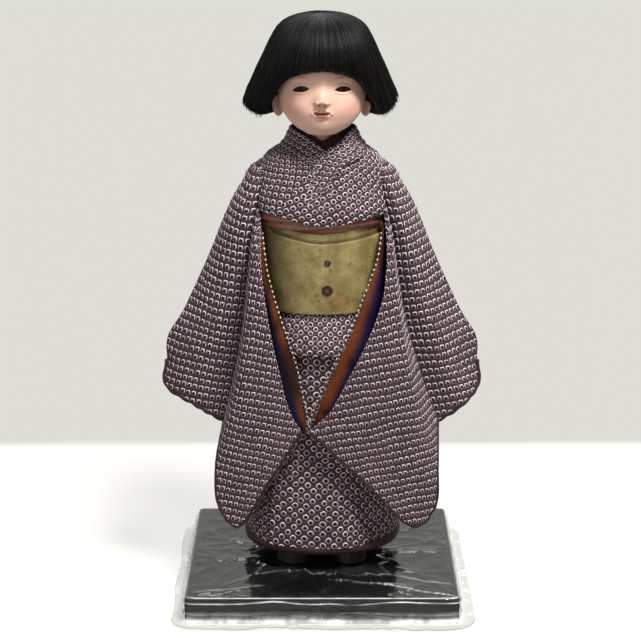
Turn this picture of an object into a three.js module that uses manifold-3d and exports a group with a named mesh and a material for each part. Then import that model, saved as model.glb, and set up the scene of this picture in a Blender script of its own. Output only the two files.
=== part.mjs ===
// Dressed play doll with a bobbed wig, a long-sleeved robe and a sash, standing on a black board.
// Millimetres, +Z up. The doll faces -Y. Its own left side is at +X. The origin is under the board.
import * as THREE from 'three';
import { mergeVertices } from 'three/addons/utils/BufferGeometryUtils.js';
import Module from 'manifold-3d';

const wasm = await Module();
wasm.setup();

// Fits
const GAP = 0.3;
const BORE_GAP = 0.3;
const FAR = 80;
const LAP_GAP = 0.8;

// Stand
const STAND_WIDTH = 200;
const STAND_DEPTH = 160;
const STAND_HEIGHT = 21;
const STAND_EDGE = 1.2;
const FILM = 0.5;
const FILM_FLARE = 11;
const FILM_LIFT = 0.6;
const FILM_BEND = 5;
const FIGURE_SET_BACK = 8;

// Feet, legs and pegs, heights from the soles up
const FOOT_SPREAD = 21;
const SANDAL_WIDTH = 26;
const SANDAL_LENGTH = 58;
const SANDAL_HEIGHT = 17;
const FOOT_WIDTH = 19;
const FOOT_LENGTH = 46;
const FOOT_HEIGHT = 14;
const STRAP_RADIUS = 1.6;
const PADDING_CLEAR = 8;
const ANKLE_RADIUS = 8.5;
const KNEE_RADIUS = 12;
const THIGH_RADIUS = 15.5;
const CALF_HEIGHT = 70;
const CALF_SET_BACK = 2;
const THIGH_HEIGHT = 144;
const FOOT_SET_FORWARD = 6;
const SANDAL_SET_FORWARD = 4;
const STRAP_SET_FORWARD = 14;
const PEG_RADIUS = 1.6;
const PEG_DEPTH = 13;
const PEG_IN_LEG = 34;

// Robe sections: height, half width and half depth of its outer face. From the sash up each height is
// a rise over the one before, and the hip hangs below the sash.
const HEM_HEIGHT = 19;
const HEM_HALF_WIDTH = 57.5;
const HEM_HALF_DEPTH = 45;
const TORSO_RISE = 18;
const KNEE_HEIGHT = 85;
const KNEE_HALF_WIDTH = 52.5;
const KNEE_HALF_DEPTH = 41;
const HIP_DROP = 29;
const HIP_HALF_WIDTH = 46;
const HIP_HALF_DEPTH = 36.5;
const WAIST_HALF_WIDTH = 37;
const WAIST_HALF_DEPTH = 29;
const CHEST_RISE = 21;
const CHEST_HALF_WIDTH = 42;
const CHEST_HALF_DEPTH = 31;
const SHOULDER_RISE = 30;
const SHOULDER_HALF_WIDTH = 43.5;
const SHOULDER_HALF_DEPTH = 26.5;
const SLOPE_RISE = 7;
const SLOPE_HALF_WIDTH = 33;
const SLOPE_HALF_DEPTH = 23.5;
const NECK_BASE_RISE = 5;
const NECK_BASE_HALF_WIDTH = 26;
const NECK_BASE_HALF_DEPTH = 21;
const COLLAR_RISE = 13;
const COLLAR_HALF_WIDTH = 23;
const COLLAR_HALF_DEPTH = 19;
const SKIRT_BOXINESS = 2.2;
const CHEST_BOXINESS = 4.5;
const NECK_BOXINESS = 2;

// Cloth thicknesses
const ROBE = 1.6;
const UNDER_ROBE = 1;
const COLLAR = 1.4;
const UNDER_COLLAR = 1;
const TUCK = 2.4;
const SLEEVE = 1.3;
const LINING = 0.5;
const HEM_ROLL_RADIUS = 4;
const COLLAR_WIDTH = 13;
const COLLAR_LAP = 3;
const NECK_CUT_WAIST = 24;
const NECK_CUT_LOW = 4;
const NECK_CUT_TOP = 20;
const NECK_CUT_FRONT = 3;
const ROBE_OVER_NECK = 2;
const UNDER_COLLAR_RISE = 4.5;
const CROSSING_DROP = 15;

// Sash
const OBI_LOW = 203;
const OBI_WIDTH = 50;
const OBI_INNER_RISE = 7;
const OBI_BOARD = 0.8;
const OBI_TURN = 1.5;
const TUCK_UNDER_OBI = 10;
const SCARF_HEIGHT = 9;
const SCARF_THICKNESS = 2.6;
const BOW_HALF_SPAN = 50;
const BOW_HALF_HEIGHT = 24;
const BOW_HALF_DEPTH = 9;
const KNOT_WIDTH = 20;
const KNOT_HEIGHT = 26;
const KNOT_DEPTH = 20;
const TAIL_WIDTH = 40;
const TAIL_DROP = 80;
const TAIL_TOP_WIDTH = 12;
const TAIL_RIPPLE = 2.2;
const TAIL_THICKNESS = 3;

// Head and wig
const CHIN_CLEAR = 1;
const HEAD_HEIGHT = 75;
const HEAD_HALF_WIDTH = 32;
const FACE_FRONT = 40;
const HEAD_BACK = 36;
const NECK_RADIUS = 13;
const NECK_SET_BACK = 1;
const NECK_IN_HEAD = 20;
const DOWEL_RADIUS = 5;
const DOWEL_IN_HEAD = 40;
const SOCKET_WALL = 4;
const SOCKET_FLOOR = 2;
const EYE_SPREAD = 14.6;
const EYE_RISE = 32.3;
const EYE_HALF_WIDTH = 5.6;
const EYE_HALF_HEIGHT = 2.3;
const EYE_DEPTH = 5;
const EYE_SET_FORWARD = 33;
const NOSE_RISE = 24;
const NOSE_SET_FORWARD = 39.5;
const NOSE_HALF_WIDTH = 4.6;
const NOSE_HALF_DEPTH = 4;
const NOSE_HALF_HEIGHT = 3.6;
const BRIDGE_RISE = 6;
const BRIDGE_SET_FORWARD = 37.6;
const BRIDGE_RADIUS = 2.6;
const BRIDGE_HALF_HEIGHT = 8;
const MOUTH_RISE = 16;
const MOUTH_SET_FORWARD = 41.4;
const MOUTH_HALF_WIDTH = 5.6;
const MOUTH_HALF_DEPTH = 2.2;
const MOUTH_HALF_HEIGHT = 0.9;
const LIPS_DROP = 0.4;
const LIPS_SET_FORWARD = 39.4;
const LIPS_HALF_WIDTH = 6;
const LIPS_HALF_DEPTH = 2.6;
const LIPS_HALF_HEIGHT = 4;
const EAR_RISE = 35;
const EAR_OUT = 32;
const EAR_HALF_WIDTH = 4;
const EAR_HALF_DEPTH = 6;
const EAR_HALF_HEIGHT = 9;
const WIG_TOP = 82;
const WIG_HALF_WIDTH = 54.5;
const WIG_FRONT = 43;
const WIG_BACK = 47;
const OPENING_FRONT = 5;
const OPENING_LOW_HALF_WIDTH = 34;
const CHEEK_HALF_WIDTH = 36;
const CHEEK_RISE = 18;
const TEMPLE_HALF_WIDTH = 31;
const TEMPLE_RISE = 28;
const FRINGE_RISE = 43.5;
const FRINGE_HALF_WIDTH = 27;
const FRINGE_HEIGHT = 18;
const FRINGE_ROOT = -14;
const FRINGE_CORNER_DROP = 7;
const FRINGE_CORNER_WIDTH = 4;
const FRINGE_CUT = 20;

// Arms and sleeves
const ARMHOLE_DROP = 15.5;
const ARMHOLE_RADIUS = 17;
const ARMHOLE_REACH = 132;
const SEAM_GAP = 0.6;
const ARM_RADIUS = 4.4;
const ARMHOLE_ROOM = 4;
const UNDER_ARMHOLE_ROOM = 3;
const WRIST_RADIUS = 4;
const HAND_SPREAD = 0.8;
const HAND_TIP = 2;
const THUMB_RADIUS = 2;
const THUMB_HALF_LENGTH = 6;
const SHOULDER_WIRE_RADIUS = 1.5;
const WIRE_IN_ARM = 9;
const SLEEVE_REACH = 119;
const SLEEVE_TIP_HEIGHT = 153;
const SLEEVE_LOW = 39;
const SLEEVE_CORNER_RISE = 15;
const SLEEVE_SIDE_RISE = 45;
const NOTCH_HEIGHT = 112;
const FURI_LOW = 114;
const BAG_ROOM = 7.5;
const BAG_CLEAR = 2.1;
const FURI_SET_BACK = 2;
const CORNER_SET_BACK = 6;
const SIDE_SET_BACK = 10;
const LINING_SHOWS = 8;
const CUFF_RADIUS = 1.5;
const CUFF_DROP = 17;
const CUFF_SET_FORWARD = 5;
const CUFF_FOLD_DEPTH = 23;
const UPPER_FURI_DEPTH = 36;
const VALLEY = 0.5;
const VALLEY_DEPTH = 29;
const VALLEY_START = 112;
const WING_SWELL = 5;
const ARM_ROOM = 24;
const FOLD_ROOM = 12;
const FOLD_SPREAD = 0.2;
const SASH_CLEAR = 3.7;
const LEVEL_UNTIL = 0.7;
const ARM_LINE = 0.66;
const SLEEVE_COLUMNS = 10;
const SLEEVE_ROWS = 10;

// Outer line of the sleeve between shoulder and cuff, as shares of its reach and of its fall
const OUTER_LINE = [[0.15, 0.09], [0.28, 0.19], [0.53, 0.48], [0.81, 0.78]];

// Sizes that differ between the two hanging sleeves
const RIGHT_SLEEVE = {
  sign: -1, tip: 14.6, upper: 42, middle: 29, diagonal: 38, low: 63, outer: 78, fold: 58, valley: 73,
  cuff: 94,
};
const LEFT_SLEEVE = {
  sign: 1, tip: -12.4, upper: 44, middle: 25, diagonal: 28, low: 68, outer: 85, fold: 62, valley: 86,
  cuff: 104,
};

// Derived heights and layers
const FLOOR = STAND_HEIGHT + GAP + FILM + GAP;
const HIP_HEIGHT = OBI_LOW - HIP_DROP;
const OBI_HIGH = OBI_LOW + OBI_WIDTH;
const CHEST_HEIGHT = OBI_HIGH + CHEST_RISE;
const SHOULDER_HEIGHT = CHEST_HEIGHT + SHOULDER_RISE;
const SLOPE_HEIGHT = SHOULDER_HEIGHT + SLOPE_RISE;
const NECK_BASE_HEIGHT = SLOPE_HEIGHT + NECK_BASE_RISE;
const COLLAR_TOP_HEIGHT = NECK_BASE_HEIGHT + COLLAR_RISE;
const CROSSING_HEIGHT = COLLAR_TOP_HEIGHT - CROSSING_DROP;
const CHIN_HEIGHT = COLLAR_TOP_HEIGHT + CHIN_CLEAR;
const ARMHOLE_HEIGHT = SHOULDER_HEIGHT - ARMHOLE_DROP;
const TORSO_LOW = HIP_HEIGHT + TORSO_RISE;
const TORSO_HIGH = SHOULDER_HEIGHT;
const UNDER_ROBE_OUT = -ROBE - LAP_GAP;
const CORE_OUT = UNDER_ROBE_OUT - UNDER_ROBE - LAP_GAP;
const OVER_IN = GAP;
const OVER_OUT = OVER_IN + ROBE;
const TUCK_IN = OVER_OUT + GAP;
const TUCK_OUT = TUCK_IN + TUCK;
const BOARD_IN = TUCK_OUT + GAP;
const BOARD_OUT = BOARD_IN + OBI_BOARD;
const INNER_TURN_IN = BOARD_OUT + GAP;
const INNER_TURN_OUT = INNER_TURN_IN + OBI_TURN;
const OUTER_TURN_IN = INNER_TURN_OUT + GAP;
const OUTER_TURN_OUT = OUTER_TURN_IN + OBI_TURN;
const COLLAR_IN = OVER_OUT + GAP;
const COLLAR_OUT = COLLAR_IN + COLLAR;
const OVER_COLLAR_IN = COLLAR_OUT + GAP;
const SASH_SIDE = WAIST_HALF_WIDTH + OUTER_TURN_OUT;
const SASH_FRONT = WAIST_HALF_DEPTH + OUTER_TURN_OUT;
const SEAM_X = Math.max(SHOULDER_HALF_WIDTH, CHEST_HALF_WIDTH) + SEAM_GAP;
const ARMPIT_X = SASH_SIDE + SASH_CLEAR;
const BAG_BACK = Math.max(KNEE_HALF_DEPTH + OVER_OUT, SASH_FRONT + TUCK) + BAG_CLEAR;
const BAG_FRONT = BAG_BACK + BAG_ROOM;
const ARM_START = SHOULDER_HALF_WIDTH + CORE_OUT + GAP;
const COLUMNS = 24;
const STEP = (2 * Math.PI) / COLUMNS;
const FRONT = -Math.PI / 2;

// Closed body from points and triangles, turned so that its faces point out
function body(points, triangles) {
  const a = new THREE.Vector3();
  const b = new THREE.Vector3();
  const c = new THREE.Vector3();
  let volume = 0;
  for (const [i, j, k] of triangles) {
    volume += a.fromArray(points[i]).dot(b.fromArray(points[j]).cross(c.fromArray(points[k])));
  }
  const faces = volume < 0 ? triangles.map(([i, j, k]) => [i, k, j]) : triangles;
  const geometry = new THREE.BufferGeometry();
  geometry.setAttribute('position', new THREE.Float32BufferAttribute(points.flat(), 3));
  geometry.setIndex(faces.flat());
  return geometry;
}

// Sheet with a thickness: a grid of outer points, a grid of inner points and the rims between them
function sheet(columns, rows, outer, inner, ring = false) {
  const across = ring ? columns : columns + 1;
  const points = [];
  for (const side of [outer, inner]) {
    for (let r = 0; r <= rows; r++) {
      for (let c = 0; c < across; c++) points.push(side(c, r));
    }
  }
  const inside = across * (rows + 1);
  const at = (c, r) => r * across + (c % across);
  const triangles = [];
  const quad = (p, q, s, t) => triangles.push([p, q, s], [p, s, t]);
  for (let c = 0; c < columns; c++) {
    for (let r = 0; r < rows; r++) {
      const [p, q, s, t] = [at(c, r), at(c + 1, r), at(c + 1, r + 1), at(c, r + 1)];
      quad(p, q, s, t);
      quad(p + inside, t + inside, s + inside, q + inside);
    }
    quad(at(c + 1, 0), at(c, 0), at(c, 0) + inside, at(c + 1, 0) + inside);
    quad(at(c, rows), at(c + 1, rows), at(c + 1, rows) + inside, at(c, rows) + inside);
  }
  if (!ring) {
    for (let r = 0; r < rows; r++) {
      quad(at(0, r), at(0, r + 1), at(0, r + 1) + inside, at(0, r) + inside);
      quad(at(columns, r + 1), at(columns, r), at(columns, r) + inside, at(columns, r + 1) + inside);
    }
  }
  return body(points, triangles);
}

// Skin over a row of rings with equal point counts, capped at both ends
function loft(rings) {
  const sides = rings[0].length;
  const points = rings.flat();
  const triangles = [];
  for (let r = 0; r + 1 < rings.length; r++) {
    for (let s = 0; s < sides; s++) {
      const low = r * sides + s;
      const next = r * sides + ((s + 1) % sides);
      triangles.push([low, next, next + sides], [low, next + sides, low + sides]);
    }
  }
  const middle = (ring) => [0, 1, 2].map((axis) => ring.reduce((sum, p) => sum + p[axis], 0) / sides);
  const last = (rings.length - 1) * sides;
  points.push(middle(rings[0]), middle(rings.at(-1)));
  for (let s = 0; s < sides; s++) {
    const t = (s + 1) % sides;
    triangles.push([points.length - 2, t, s], [points.length - 1, last + s, last + t]);
  }
  return body(points, triangles);
}

// Closed tube round a closed path: ring(i) gives the section's points at step i
function closedTube(steps, sides, point) {
  const points = [];
  const triangles = [];
  for (let i = 0; i < steps; i++) {
    for (let s = 0; s < sides; s++) points.push(point(i, s));
  }
  const at = (i, s) => (i % steps) * sides + (s % sides);
  for (let i = 0; i < steps; i++) {
    for (let s = 0; s < sides; s++) {
      const [p, q, t, w] = [at(i, s), at(i + 1, s), at(i + 1, s + 1), at(i, s + 1)];
      triangles.push([p, q, t], [p, t, w]);
    }
  }
  return body(points, triangles);
}

// Level ring of an ellipse
function ellipse(sides, x, y, z, halfWidth, halfDepth) {
  return Array.from({ length: sides }, (_, s) => {
    const angle = (2 * Math.PI * s) / sides;
    return [x + halfWidth * Math.cos(angle), y + halfDepth * Math.sin(angle), z];
  });
}

// Limb: round rings square to a path that never runs along Y
function limb(path, radii, sides = 12) {
  const stations = path.map((p) => new THREE.Vector3(...p));
  const rings = stations.map((centre, n) => {
    const before = stations[Math.max(0, n - 1)];
    const after = stations[Math.min(stations.length - 1, n + 1)];
    const along = after.clone().sub(before).normalize();
    const across = new THREE.Vector3(0, 1, 0).cross(along).normalize();
    const up = along.clone().cross(across);
    return Array.from({ length: sides }, (_, s) => {
      const angle = (2 * Math.PI * s) / sides;
      const spoke = across.clone().multiplyScalar(Math.cos(angle)).addScaledVector(up, Math.sin(angle));
      return centre.clone().addScaledVector(spoke, radii[n]).toArray();
    });
  });
  return loft(rings);
}

// Booleans
function toManifold(geometry) {
  const bare = geometry.clone();
  bare.deleteAttribute('normal');
  bare.deleteAttribute('uv');
  const merged = mergeVertices(bare);
  return new wasm.Manifold(new wasm.Mesh({
    numProp: 3,
    vertProperties: new Float32Array(merged.attributes.position.array),
    triVerts: new Uint32Array(merged.index.array),
  }));
}

function fromManifold(manifold) {
  const mesh = manifold.getMesh();
  const geometry = new THREE.BufferGeometry();
  geometry.setAttribute('position', new THREE.BufferAttribute(new Float32Array(mesh.vertProperties), 3));
  geometry.setIndex(new THREE.BufferAttribute(new Uint32Array(mesh.triVerts), 1));
  return geometry;
}

function cut(geometry, ...tools) {
  return fromManifold(tools.reduce((solid, tool) => solid.subtract(toManifold(tool)), toManifold(geometry)));
}

function join(geometry, ...others) {
  return fromManifold(others.reduce((solid, other) => solid.add(toManifold(other)), toManifold(geometry)));
}

function common(geometry, other) {
  return fromManifold(toManifold(geometry).intersect(toManifold(other)));
}

// Round bar along an axis, from one end to the other
function bar(axis, radius, from, to, x, y, z, sides = 16) {
  const geometry = new THREE.CylinderGeometry(radius, radius, to - from, sides);
  if (axis === 'z') geometry.rotateX(Math.PI / 2);
  if (axis === 'x') geometry.rotateZ(Math.PI / 2);
  const middle = (from + to) / 2;
  return axis === 'z' ? geometry.translate(x, y, middle) : geometry.translate(middle, y, z);
}

function box(x0, x1, y0, y1, z0, z1) {
  const geometry = new THREE.BoxGeometry(x1 - x0, y1 - y0, z1 - z0);
  return geometry.translate((x0 + x1) / 2, (y0 + y1) / 2, (z0 + z1) / 2);
}

// Outline in X and Z pushed along Y
function prism(outline, y0, y1) {
  const shape = new THREE.Shape(outline.map(([x, z]) => new THREE.Vector2(x, z)));
  const geometry = new THREE.ExtrudeGeometry(shape, { depth: y1 - y0, bevelEnabled: false });
  return geometry.rotateX(Math.PI / 2).translate(0, y1, 0);
}

function ellipsoid(x, y, z, halfWidth, halfDepth, halfHeight, columns = 16, rows = 10) {
  const geometry = new THREE.SphereGeometry(1, columns, rows);
  return geometry.scale(halfWidth, halfHeight, halfDepth).rotateX(Math.PI / 2).translate(x, y, z);
}

// Round tube with closed ends along a smooth curve
function tube(points, radius, steps, sides = 8) {
  const section = new THREE.Shape();
  for (let s = 0; s < sides; s++) {
    const angle = (2 * Math.PI * s) / sides;
    const place = [radius * Math.cos(angle), radius * Math.sin(angle)];
    if (s === 0) section.moveTo(...place);
    else section.lineTo(...place);
  }
  const extrudePath = new THREE.CatmullRomCurve3(points.map((p) => new THREE.Vector3(...p)));
  return new THREE.ExtrudeGeometry(section, { steps, extrudePath });
}

// Robe's outer face: straight between its sections, each a slightly boxy ellipse
const SECTIONS = [
  [0, HEM_HALF_WIDTH, HEM_HALF_DEPTH, SKIRT_BOXINESS],
  [HEM_HEIGHT, HEM_HALF_WIDTH, HEM_HALF_DEPTH, SKIRT_BOXINESS],
  [KNEE_HEIGHT, KNEE_HALF_WIDTH, KNEE_HALF_DEPTH, SKIRT_BOXINESS],
  [HIP_HEIGHT, HIP_HALF_WIDTH, HIP_HALF_DEPTH, SKIRT_BOXINESS],
  [OBI_LOW, WAIST_HALF_WIDTH, WAIST_HALF_DEPTH, SKIRT_BOXINESS],
  [OBI_HIGH, WAIST_HALF_WIDTH, WAIST_HALF_DEPTH, SKIRT_BOXINESS],
  [CHEST_HEIGHT, CHEST_HALF_WIDTH, CHEST_HALF_DEPTH, CHEST_BOXINESS],
  [SHOULDER_HEIGHT, SHOULDER_HALF_WIDTH, SHOULDER_HALF_DEPTH, CHEST_BOXINESS],
  [SLOPE_HEIGHT, SLOPE_HALF_WIDTH, SLOPE_HALF_DEPTH, CHEST_BOXINESS],
  [NECK_BASE_HEIGHT, NECK_BASE_HALF_WIDTH, NECK_BASE_HALF_DEPTH, NECK_BOXINESS],
  [COLLAR_TOP_HEIGHT, COLLAR_HALF_WIDTH, COLLAR_HALF_DEPTH, NECK_BOXINESS],
];

function section(height) {
  let n = 0;
  while (n + 2 < SECTIONS.length && SECTIONS[n + 1][0] < height) n++;
  const [low, ...from] = SECTIONS[n];
  const [high, ...to] = SECTIONS[n + 1];
  const share = (height - low) / (high - low);
  return from.map((value, axis) => value + (to[axis] - value) * share);
}

function onRobe(angle, height, offset) {
  const [halfWidth, halfDepth, boxiness] = section(height);
  const bend = (value) => Math.sign(value) * Math.abs(value) ** (2 / boxiness);
  return [(halfWidth + offset) * bend(Math.cos(angle)), (halfDepth + offset) * bend(Math.sin(angle)), height];
}

function levels(low, high) {
  const heights = SECTIONS.map(([height]) => height);
  return [low, ...heights.filter((height) => height > low + 1 && height < high - 1), high];
}

function robeRing(height, offset) {
  return Array.from({ length: COLUMNS }, (_, c) => onRobe(c * STEP, height, offset));
}

// Layer of cloth right round the body
function layer(low, high, inside, outside) {
  const heights = levels(low, high);
  const face = (offset) => (c, r) => onRobe(c * STEP, heights[r], offset);
  return sheet(COLUMNS, heights.length - 1, face(outside), face(inside), true);
}

// Layer between two angles, given in columns; inside and outside give the offset at each column
function panel(first, last, low, high, inside, outside) {
  const heights = levels(low, high);
  const face = (offset) => (c, r) => onRobe((first + c) * STEP, heights[r], offset(first + c));
  return sheet(last - first, heights.length - 1, face(outside), face(inside));
}

const root = new THREE.Group();
const stand = new THREE.Group();
const figure = new THREE.Group();
const headGroup = new THREE.Group();
const leftArm = new THREE.Group();
const rightArm = new THREE.Group();
figure.position.set(0, FIGURE_SET_BACK, FLOOR);
figure.add(headGroup, leftArm, rightArm);
root.add(stand, figure);

function add(group, name, geometry, color, roughness, metalness = 0) {
  const mesh = new THREE.Mesh(geometry, new THREE.MeshStandardMaterial({ color, roughness, metalness }));
  mesh.name = name;
  group.add(mesh);
}

// Stand: board with chamfered edges and two peg holes, in a thin clear film
function rectangle(halfWidth, halfDepth, z) {
  return [
    [-halfWidth, -halfDepth, z], [halfWidth, -halfDepth, z],
    [halfWidth, halfDepth, z], [-halfWidth, halfDepth, z],
  ];
}

function block(rows) {
  return loft(rows.map(([z, grow]) => rectangle(STAND_WIDTH / 2 + grow, STAND_DEPTH / 2 + grow, z)));
}

function pegHoles(radius, low, high) {
  return [-1, 1].map((side) => bar('z', radius, low, high, side * FOOT_SPREAD, FIGURE_SET_BACK, 0, 12));
}

function standBoard() {
  const high = STAND_HEIGHT - STAND_EDGE;
  const board = block([[0, -STAND_EDGE], [STAND_EDGE, 0], [high, 0], [STAND_HEIGHT, -STAND_EDGE]]);
  const holeLow = FLOOR - PEG_DEPTH - GAP;
  return cut(board, ...pegHoles(PEG_RADIUS + BORE_GAP, holeLow, STAND_HEIGHT + 1));
}

function clearWrap() {
  const skin = (out, foot) => block([
    [FILM_LIFT - foot, FILM_FLARE + out],
    [FILM_LIFT + FILM, FILM_FLARE + out],
    [FILM_BEND, GAP + out],
    [STAND_HEIGHT - STAND_EDGE, GAP + out],
    [STAND_HEIGHT + GAP + out, GAP + out - STAND_EDGE],
  ]);
  const shell = cut(skin(FILM, 0), skin(0, 1));
  return cut(shell, ...pegHoles(PEG_RADIUS + BORE_GAP + FILM, 0, FLOOR + 1));
}

add(stand, 'stand_board', standBoard(), 0x17171a, 0.25);
add(stand, 'clear_wrap', clearWrap(), 0xd8dde0, 0.1);

// Feet, sandals and legs
const FOOT_TOP = SANDAL_HEIGHT + GAP + FOOT_HEIGHT;
const LEG_TOP = TORSO_LOW - GAP;

function legShape(side, grow) {
  const x = side * FOOT_SPREAD;
  const path = [
    [x, CALF_SET_BACK, FOOT_TOP - FOOT_HEIGHT / 2], [x, CALF_SET_BACK, CALF_HEIGHT],
    [x, 0, THIGH_HEIGHT], [x, 0, LEG_TOP],
  ];
  const radii = [ANKLE_RADIUS, KNEE_RADIUS, THIGH_RADIUS, THIGH_RADIUS].map((radius) => radius + grow);
  return limb(path, radii, 10);
}

function leg(side) {
  const x = side * FOOT_SPREAD;
  const low = SANDAL_HEIGHT + GAP;
  const foot = ellipsoid(x, -FOOT_SET_FORWARD, low, FOOT_WIDTH / 2, FOOT_LENGTH / 2, FOOT_HEIGHT, 10, 6);
  const sole = box(x - FOOT_WIDTH, x + FOOT_WIDTH, -FOOT_LENGTH, FOOT_LENGTH, low - FOOT_HEIGHT * 2, low);
  const whole = join(legShape(side, 0), foot);
  return cut(whole, sole, bar('z', PEG_RADIUS + BORE_GAP, 0, FOOT_TOP + PEG_IN_LEG + GAP, x, 0, 0, 12));
}

function sandal(side) {
  const x = side * FOOT_SPREAD;
  const round = SANDAL_WIDTH / 2;
  const straight = SANDAL_LENGTH / 2 - round;
  const shape = new THREE.Shape();
  shape.absarc(0, -straight, round, Math.PI, 2 * Math.PI);
  shape.absarc(0, straight, round, 0, Math.PI);
  const settings = { depth: SANDAL_HEIGHT, bevelEnabled: false, curveSegments: 6 };
  const sole = new THREE.ExtrudeGeometry(shape, settings).translate(x, -SANDAL_SET_FORWARD, 0);
  return cut(sole, bar('z', PEG_RADIUS + BORE_GAP, -1, SANDAL_HEIGHT + 1, x, 0, 0, 12));
}

function strap(side) {
  const x = side * FOOT_SPREAD;
  const reach = FOOT_WIDTH / 2 + GAP + STRAP_RADIUS;
  const rise = FOOT_HEIGHT + GAP + STRAP_RADIUS;
  const low = SANDAL_HEIGHT + GAP;
  const arch = [];
  for (let n = 0; n <= 8; n++) {
    const angle = (Math.PI * n) / 8;
    arch.push([x + reach * Math.cos(angle), -STRAP_SET_FORWARD, low + rise * Math.sin(angle)]);
  }
  return tube(arch, STRAP_RADIUS, 12, 6);
}

for (const [side, name] of [[1, 'left'], [-1, 'right']]) {
  const x = side * FOOT_SPREAD;
  add(figure, `${name}_leg`, leg(side), 0xe6d8cc, 0.5);
  add(figure, `${name}_sandal`, sandal(side), 0x121213, 0.3);
  add(figure, `${name}_sandal_strap`, strap(side), 0x6e1f22, 0.7);
  const peg = bar('z', PEG_RADIUS, -PEG_DEPTH, FOOT_TOP + PEG_IN_LEG, x, 0, 0, 12);
  add(figure, `${name}_foot_peg`, peg, 0x9a9a9c, 0.35, 1);
}

// Body under the robe
const AXIS_LOW = -(ARM_START + WIRE_IN_ARM);
const AXIS_HIGH = ARM_START + WIRE_IN_ARM;
const NECK_LOW = TORSO_HIGH + GAP;
const SOCKET_LOW = ARMHOLE_HEIGHT + SHOULDER_WIRE_RADIUS + BORE_GAP + 1.5;

function torsoCore() {
  const core = loft(levels(TORSO_LOW, TORSO_HIGH).map((height) => robeRing(height, CORE_OUT)));
  const wire = bar('x', SHOULDER_WIRE_RADIUS + BORE_GAP, AXIS_LOW, AXIS_HIGH, 0, 0, ARMHOLE_HEIGHT, 12);
  const socketRadius = DOWEL_RADIUS + BORE_GAP + SOCKET_WALL + GAP;
  const socket = bar('z', socketRadius, SOCKET_LOW, TORSO_HIGH + 1, 0, 0, 0, 20);
  return cut(core, wire, socket);
}

function neckSocket() {
  const low = SOCKET_LOW + GAP;
  const bush = bar('z', DOWEL_RADIUS + BORE_GAP + SOCKET_WALL, low, TORSO_HIGH, 0, 0, 0, 20);
  return cut(bush, bar('z', DOWEL_RADIUS + BORE_GAP, low + SOCKET_FLOOR, TORSO_HIGH + 1, 0, 0, 0, 20));
}

function skirtPadding() {
  const low = FOOT_TOP + PADDING_CLEAR;
  const column = loft(levels(low, TORSO_LOW - GAP).map((height) => robeRing(height, CORE_OUT)));
  return cut(column, legShape(1, GAP), legShape(-1, GAP));
}

function armholes(radius) {
  const inside = SHOULDER_HALF_WIDTH - ARMHOLE_RADIUS;
  return [-1, 1].map((side) => {
    const ends = [side * inside, side * (SEAM_X + ARM_RADIUS)].sort((p, q) => p - q);
    return bar('x', radius, ...ends, 0, 0, ARMHOLE_HEIGHT, 16);
  });
}

function underRobe() {
  const shell = layer(HEM_HEIGHT + 6, NECK_BASE_HEIGHT, UNDER_ROBE_OUT - UNDER_ROBE, UNDER_ROBE_OUT);
  return cut(shell, ...armholes(ARM_RADIUS + UNDER_ARMHOLE_ROOM));
}

add(figure, 'torso_core', torsoCore(), 0xd9cdb8, 0.9);
add(figure, 'neck_socket', neckSocket(), 0xb98f5f, 0.7);
const shoulderWire = bar('x', SHOULDER_WIRE_RADIUS, AXIS_LOW, AXIS_HIGH, 0, 0, ARMHOLE_HEIGHT, 12);
add(figure, 'shoulder_wire', shoulderWire, 0x8d8d90, 0.4, 1);
add(figure, 'skirt_padding', skirtPadding(), 0xe9e4d8, 0.95);
add(figure, 'under_robe', underRobe(), 0x5a2320, 0.8);

// Robe: back, right front under, left front over, with a V at the neck
const SIDE_LEFT = 0;
const SIDE_RIGHT = COLUMNS / 2;
const UNDER_EDGE = COLUMNS - 5;
const OVER_EDGE = COLUMNS / 2 + 3;
const FLAT = (value) => () => value;
const ROBE_TOP = NECK_BASE_HEIGHT + ROBE_OVER_NECK;

function neckWedge(lean) {
  const low = CROSSING_HEIGHT - COLLAR_WIDTH + COLLAR_LAP;
  const waist = OBI_HIGH + OBI_INNER_RISE;
  const high = COLLAR_TOP_HEIGHT + COLLAR_RISE;
  const outline = [
    [-lean * FAR, waist], [-lean * NECK_CUT_WAIST, waist], [lean * NECK_CUT_LOW, low],
    [lean * NECK_CUT_TOP, high], [-lean * FAR, high],
  ];
  return prism(lean > 0 ? outline : outline.reverse(), -FAR, -NECK_CUT_FRONT);
}

function robeBack() {
  const shell = panel(SIDE_LEFT, SIDE_RIGHT, HEM_HEIGHT, ROBE_TOP, FLAT(-ROBE), FLAT(0));
  return cut(shell, ...armholes(ARM_RADIUS + ARMHOLE_ROOM));
}

function sidewaysTrim() {
  return box(-FAR, FAR, -GAP, GAP, 0, COLLAR_TOP_HEIGHT + COLLAR_RISE);
}

function robeRightFront() {
  const shell = panel(SIDE_RIGHT, UNDER_EDGE, HEM_HEIGHT, ROBE_TOP, FLAT(-ROBE), FLAT(0));
  return cut(shell, neckWedge(-1), sidewaysTrim(), ...armholes(ARM_RADIUS + ARMHOLE_ROOM));
}

function robeLeftFront() {
  const lift = (column) => (column > UNDER_EDGE + 2 ? 0 : OVER_OUT);
  const shell = panel(OVER_EDGE, COLUMNS, HEM_HEIGHT, ROBE_TOP, (c) => lift(c) - ROBE, lift);
  return cut(shell, neckWedge(1), sidewaysTrim(), ...armholes(ARM_RADIUS + ARMHOLE_ROOM));
}

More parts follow.
